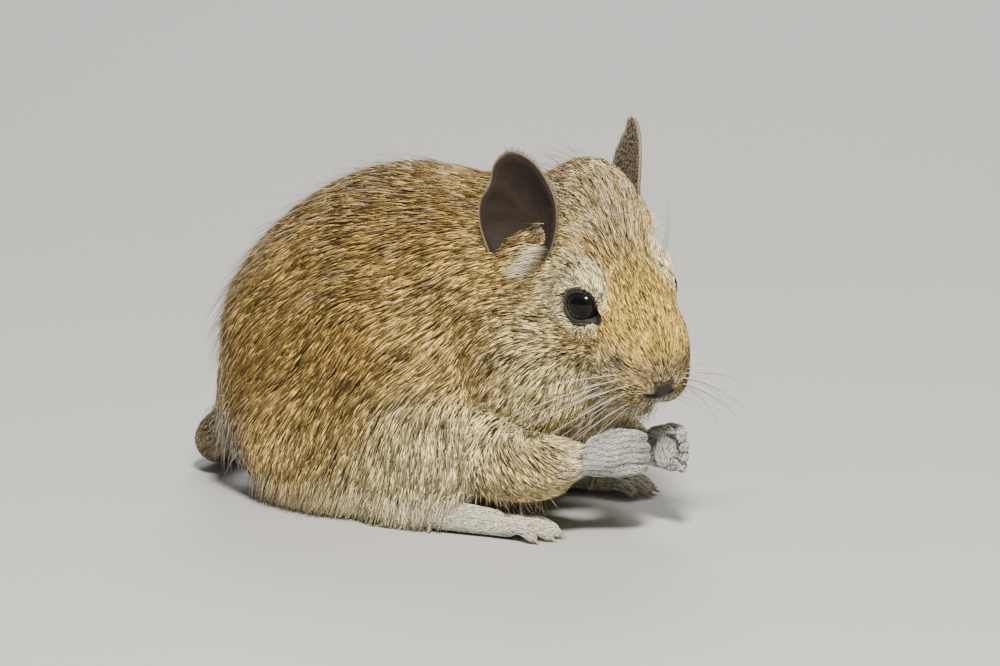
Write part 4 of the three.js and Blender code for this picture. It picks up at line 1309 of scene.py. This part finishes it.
class Ear:
    def __init__(self, side):
        self.s = SIDES[side]
        self.out = unit(EAR_TURN @ [0.5, self.s * 0.86, 0.05])
        self.rise = unit(EAR_TURN @ [-0.5, EAR_LEAN[side], 0.87])
        self.out = unit(self.out - self.rise * (self.out @ self.rise))
        self.side = np.cross(self.rise, self.out) * -self.s
        self.foot = from_head(EAR_FOOT[side])
        self.edge = closed_curve(EAR_RIM, EAR_AROUND) * [1, EAR_HEIGHT / 26.4]
        self.middle = np.array([0, EAR_HEIGHT * 0.36])

    def at(self, r, n, back):
        """A point of the cup: r from its middle to the rim, n round it."""
        r, n = np.asarray(r, float), np.asarray(n) % EAR_AROUND
        flat = self.middle + (self.edge[n] - self.middle) * r[..., None]
        a = n * 2 * math.pi / EAR_AROUND
        cup = 5.2 * r * r - 3.12
        fold = 0.35 * np.sin(3 * a + 1) * r**2 + 0.28 * np.sin(7 * a) * r**3 * (1 - r) * 4
        roll = -0.9 * smooth(r, 0.86, 1.0)
        thick = mix(1.0, 0.5, r) * back
        depth = cup + fold + roll - thick
        return self.foot + flat[..., :1] * self.side + flat[..., 1:] * self.rise + depth[..., None] * self.out

    def cup(self):
        """Rings on the front out to the rim, rings on the back in again, two middles, and how near the rim each is."""
        radii = np.sin(np.linspace(0.02, math.pi / 2, EAR_RINGS))
        rings = [(r, 0) for r in radii] + [(r, 1) for r in radii[::-1]]
        points = [self.at(np.full(EAR_AROUND, r), np.arange(EAR_AROUND), back) for r, back in rings]
        points += [self.at(np.array([0.0]), np.array([0]), back) for back in (0, 1)]
        edge = smooth(radii, 0.955, 0.995) * 0.8
        rim = np.concatenate([edge, (edge + 0.25 * (radii > 0.3))[::-1]])
        faces = ring_faces(len(rings), EAR_AROUND, flip=self.s < 0)
        middle = len(rings) * EAR_AROUND
        end = middle - EAR_AROUND
        for j in range(EAR_AROUND):
            k = (j + 1) % EAR_AROUND
            for fan in ((middle, j, k), (middle + 1, end + k, end + j)):
                faces.append(fan if self.s < 0 else fan[::-1])
        return np.concatenate(points), faces, np.concatenate([np.repeat(rim, EAR_AROUND), [0, 0]])

    def hair(self, count, r_range, n_range, back, long, width, tint, spread, lift, lie, droop):
        r = np.sqrt(random.uniform(r_range[0] ** 2, r_range[1] ** 2, count))
        n = random.integers(*n_range, count)
        base = self.at(r, n, back)
        outward = unit(base - self.at(r, n, 1 - back))
        radial = unit(self.edge[n] - self.middle)
        radial = radial[:, :1] * self.side + radial[:, 1:] * self.rise
        way = unit(lie[0] * self.side + lie[1] * self.rise + lie[2] * outward + lie[3] * radial)
        size = long * random.uniform(0.6, 1.25, count)[:, None]
        way = unit(way + random.normal(0, spread, (count, 3)) * 0.6)
        return dict(
            root=base - outward * 0.12, bend=base + (way * 0.5 + outward * lift * 0.6) * size,
            tip=base + (way + outward * lift * 0.7) * size - np.array([0, 0, 1]) * size * droop, normal=outward,
            width=width * random.uniform(0.7, 1.2, count), tint=np.tile(tint, (count, 1)),
            vary=random.uniform(0.38, 0.7, count), ticked=np.zeros(count), part=np.zeros(count, int),
        )


for side in SIDES:
    shape = Ear(side)
    points, faces, rim = shape.cup()
    ear = mesh_object("ear_cup_" + side, points, faces, EAR_SKIN, values={"rim": rim})
    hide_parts("ear_" + side)
    sets = [shape.hair(*row) for row in EAR_HAIR]
    Tufts(**{key: np.concatenate([d[key] for d in sets]) for key in sets[0]}).build("ear_hair_" + side, "pale_coat")


# ---- Claws and whiskers: thin tapered tubes ----
# The claws of each kind of foot: the first digit's chain, length, and the way that they bend
CLAWS = {"paw": (4, 2.2, (-0.45, 0, -0.2)), "foot": (3, 2.9, (0, 0, -0.35))}
CLAW_STEPS, CLAW_FLOOR = 7, 0.45
WHISKER_ROWS, WHISKER_COLUMNS, WHISKER_FLOOR = 5, 6, 1.0


def tube(points, radii, sides):
    along = unit(np.gradient(points, axis=0))
    side = unit(np.cross(along, np.array([0.13, 0.21, 0.97])))
    over = np.cross(along, side)
    a = (np.arange(sides) * 2 * math.pi / sides)[:, None]
    ring = points[:, None] + (side[:, None] * np.cos(a) + over[:, None] * np.sin(a)) * radii[:, None, None]
    last = (len(points) - 1) * sides
    caps = [tuple(range(sides))[::-1], tuple(range(last, last + sides))]
    return ring.reshape(-1, 3), ring_faces(len(points), sides) + caps


def tubes_object(name, tubes, material):
    points, faces, base = [], [], 0
    for p, f in tubes:
        points.append(p)
        faces += [tuple(base + v for v in face) for face in f]
        base += len(p)
    return mesh_object(name, np.concatenate(points), faces, material)


def claw(chain, long, down):
    t = np.linspace(0, 1, CLAW_STEPS)[:, None]
    tip = chain.points[-1]
    way = unit(tip - chain.points[-3])
    line = tip - way * 0.3 + way * long * t + np.array(down) * long * 0.6 * t * t
    line[:, 2] = np.maximum(line[:, 2], CLAW_FLOOR)
    return tube(line, np.interp(t[:, 0], [0, 0.4, 0.8, 1], [0.5, 0.42, 0.2, 0.05]), 8)


def whisker(root, start, sag, long, steps, thick):
    t = np.linspace(0, 1, steps)[:, None]
    line = root + start * long * t + sag * long * t**2
    line[:, 2] = np.maximum(line[:, 2], WHISKER_FLOOR)
    return tube(line, np.interp(t[:, 0], [0, 0.3, 1], [thick, thick * 0.8, thick * 0.2]), 5)


claws = []
for name, (chains, _, _) in LIMBS.items():
    if name.split("_")[0] in CLAWS:
        first, long, down = CLAWS[name.split("_")[0]]
        claws += [claw(chain, long, down) for chain in chains[first:first + 4]]
tubes_object("claws", claws, CLAW)

pale_whiskers, dark_whiskers = [], []
for s in SIDES.values():
    for row in range(WHISKER_ROWS):
        for column in range(WHISKER_COLUMNS):
            q = np.array([[21 - column * 1.1 - row * 0.35, s * (4.6 + column * 0.7 + 0.25 * row), -4.6 - row * 1.9]])
            root = settled(from_head(q), lay, 0, 6, 3)[0] - head_way([0, s * 0.3, 0])
            long = (17 + 2.0 * column - 1.0 * row) * random.uniform(0.85, 1.1) * (0.86 if s > 0 else 1.25)
            if s > 0:
                start = unit(head_way([0.3 - 0.07 * column, 1.0, 0.0 - 0.13 * row]) + random.normal(0, 0.05, 3))
                sag = np.array([-0.1, 0.1, -0.2 - 0.07 * row])
            else:
                start = unit(head_way([0.1 - 0.06 * column, -1.0, -0.05 - 0.24 * row]) + random.normal(0, 0.07, 3))
                sag = np.array([-0.4, 0.42, -0.3]) * random.uniform(0.6, 1.3)
            dark = random.random() < (0.12 if s > 0 else 0.5)
            (dark_whiskers if dark else pale_whiskers).append(whisker(root, start, sag, long, 12, 0.075))
    for n in range(3):
        root = settled(from_head(np.array([[2 - 1.6 * n, s * (6.5 + 0.5 * n), 8]])), lay, 0, 6, 2)[0]
        start = unit(head_way([-0.3, s * 0.35, 1]) + random.normal(0, 0.08, 3))
        dark_whiskers.append(whisker(root, start, head_way([-0.5, 0, -0.1]), 12, 10, 0.06))
tubes_object("whiskers_pale", pale_whiskers, WHISKER)
tubes_object("whiskers_dark", dark_whiskers, DARK_WHISKER)

# ---- Floor, light and camera ----
AZIMUTH, ELEVATION = math.radians(25), math.radians(11)
DISTANCE, FRAME_WIDTH, SENSOR = 1.6, 0.2128, 36
AIM = 7.2, 36.6, 15  # to the right of the frame's middle, above it and towards the camera, in mm
FLOOR_RADIUS, FLOOR_SIDES, FLOOR_HEIGHT = 4, 96, -0.0002
view_right = np.array([math.cos(AZIMUTH), math.sin(AZIMUTH), 0])
view_back = np.array([
    math.sin(AZIMUTH) * math.cos(ELEVATION), -math.cos(AZIMUTH) * math.cos(ELEVATION), math.sin(ELEVATION),
])
view_up = np.cross(view_back, view_right)
aim = to_row(view_right * AIM[0] + view_up * AIM[1] + view_back * AIM[2])


def placed(name, data, place, target):
    """A new object of the scene that looks from a place at a target."""
    obj = bpy.data.objects.new(name, data)
    bpy.context.scene.collection.objects.link(obj)
    obj.location = place
    obj.rotation_euler = (Vector(target) - Vector(place)).to_track_quat("-Z", "Y").to_euler()
    return obj


def soft_light(name, place, size, power, colour):
    data = bpy.data.lights.new(name, "AREA")
    data.shape = "DISK"
    data.size = size
    data.energy = power
    data.color = colour
    placed(name, data, place, (0, 0, 0.04))


camera_data = bpy.data.cameras.new("camera")
camera_data.sensor_width = SENSOR
camera_data.lens = SENSOR * DISTANCE / FRAME_WIDTH
camera_data.clip_end = 50
bpy.context.scene.camera = placed("camera", camera_data, aim + view_back * DISTANCE, aim)
soft_light("key", (0.45, -0.85, 0.95), 0.22, 40, (1, 0.96, 0.88))
soft_light("back", (-0.35, 0.95, 0.8), 0.6, 9, (1, 0.98, 0.95))

world = bpy.data.worlds.new("studio")
world.use_nodes = True
world.node_tree.nodes["Background"].inputs["Color"].default_value = (0.86, 0.87, 0.88, 1)
world.node_tree.nodes["Background"].inputs["Strength"].default_value = 0.32
bpy.context.scene.world = world

floor_mesh = bpy.data.meshes.new("floor")
turns = [2 * math.pi * n / FLOOR_SIDES for n in range(FLOOR_SIDES)]
floor_points = [(FLOOR_RADIUS * math.cos(a), FLOOR_RADIUS * math.sin(a), FLOOR_HEIGHT) for a in turns]
floor_mesh.from_pydata(floor_points, [], [tuple(range(FLOOR_SIDES))])
floor = bpy.data.objects.new("floor", floor_mesh)
bpy.context.scene.collection.objects.link(floor)
floor_mesh.materials.append(bare_material("floor_paint", (0.47, 0.465, 0.45), (0.50, 0.495, 0.48), 0.8, 6.0, 0.05))
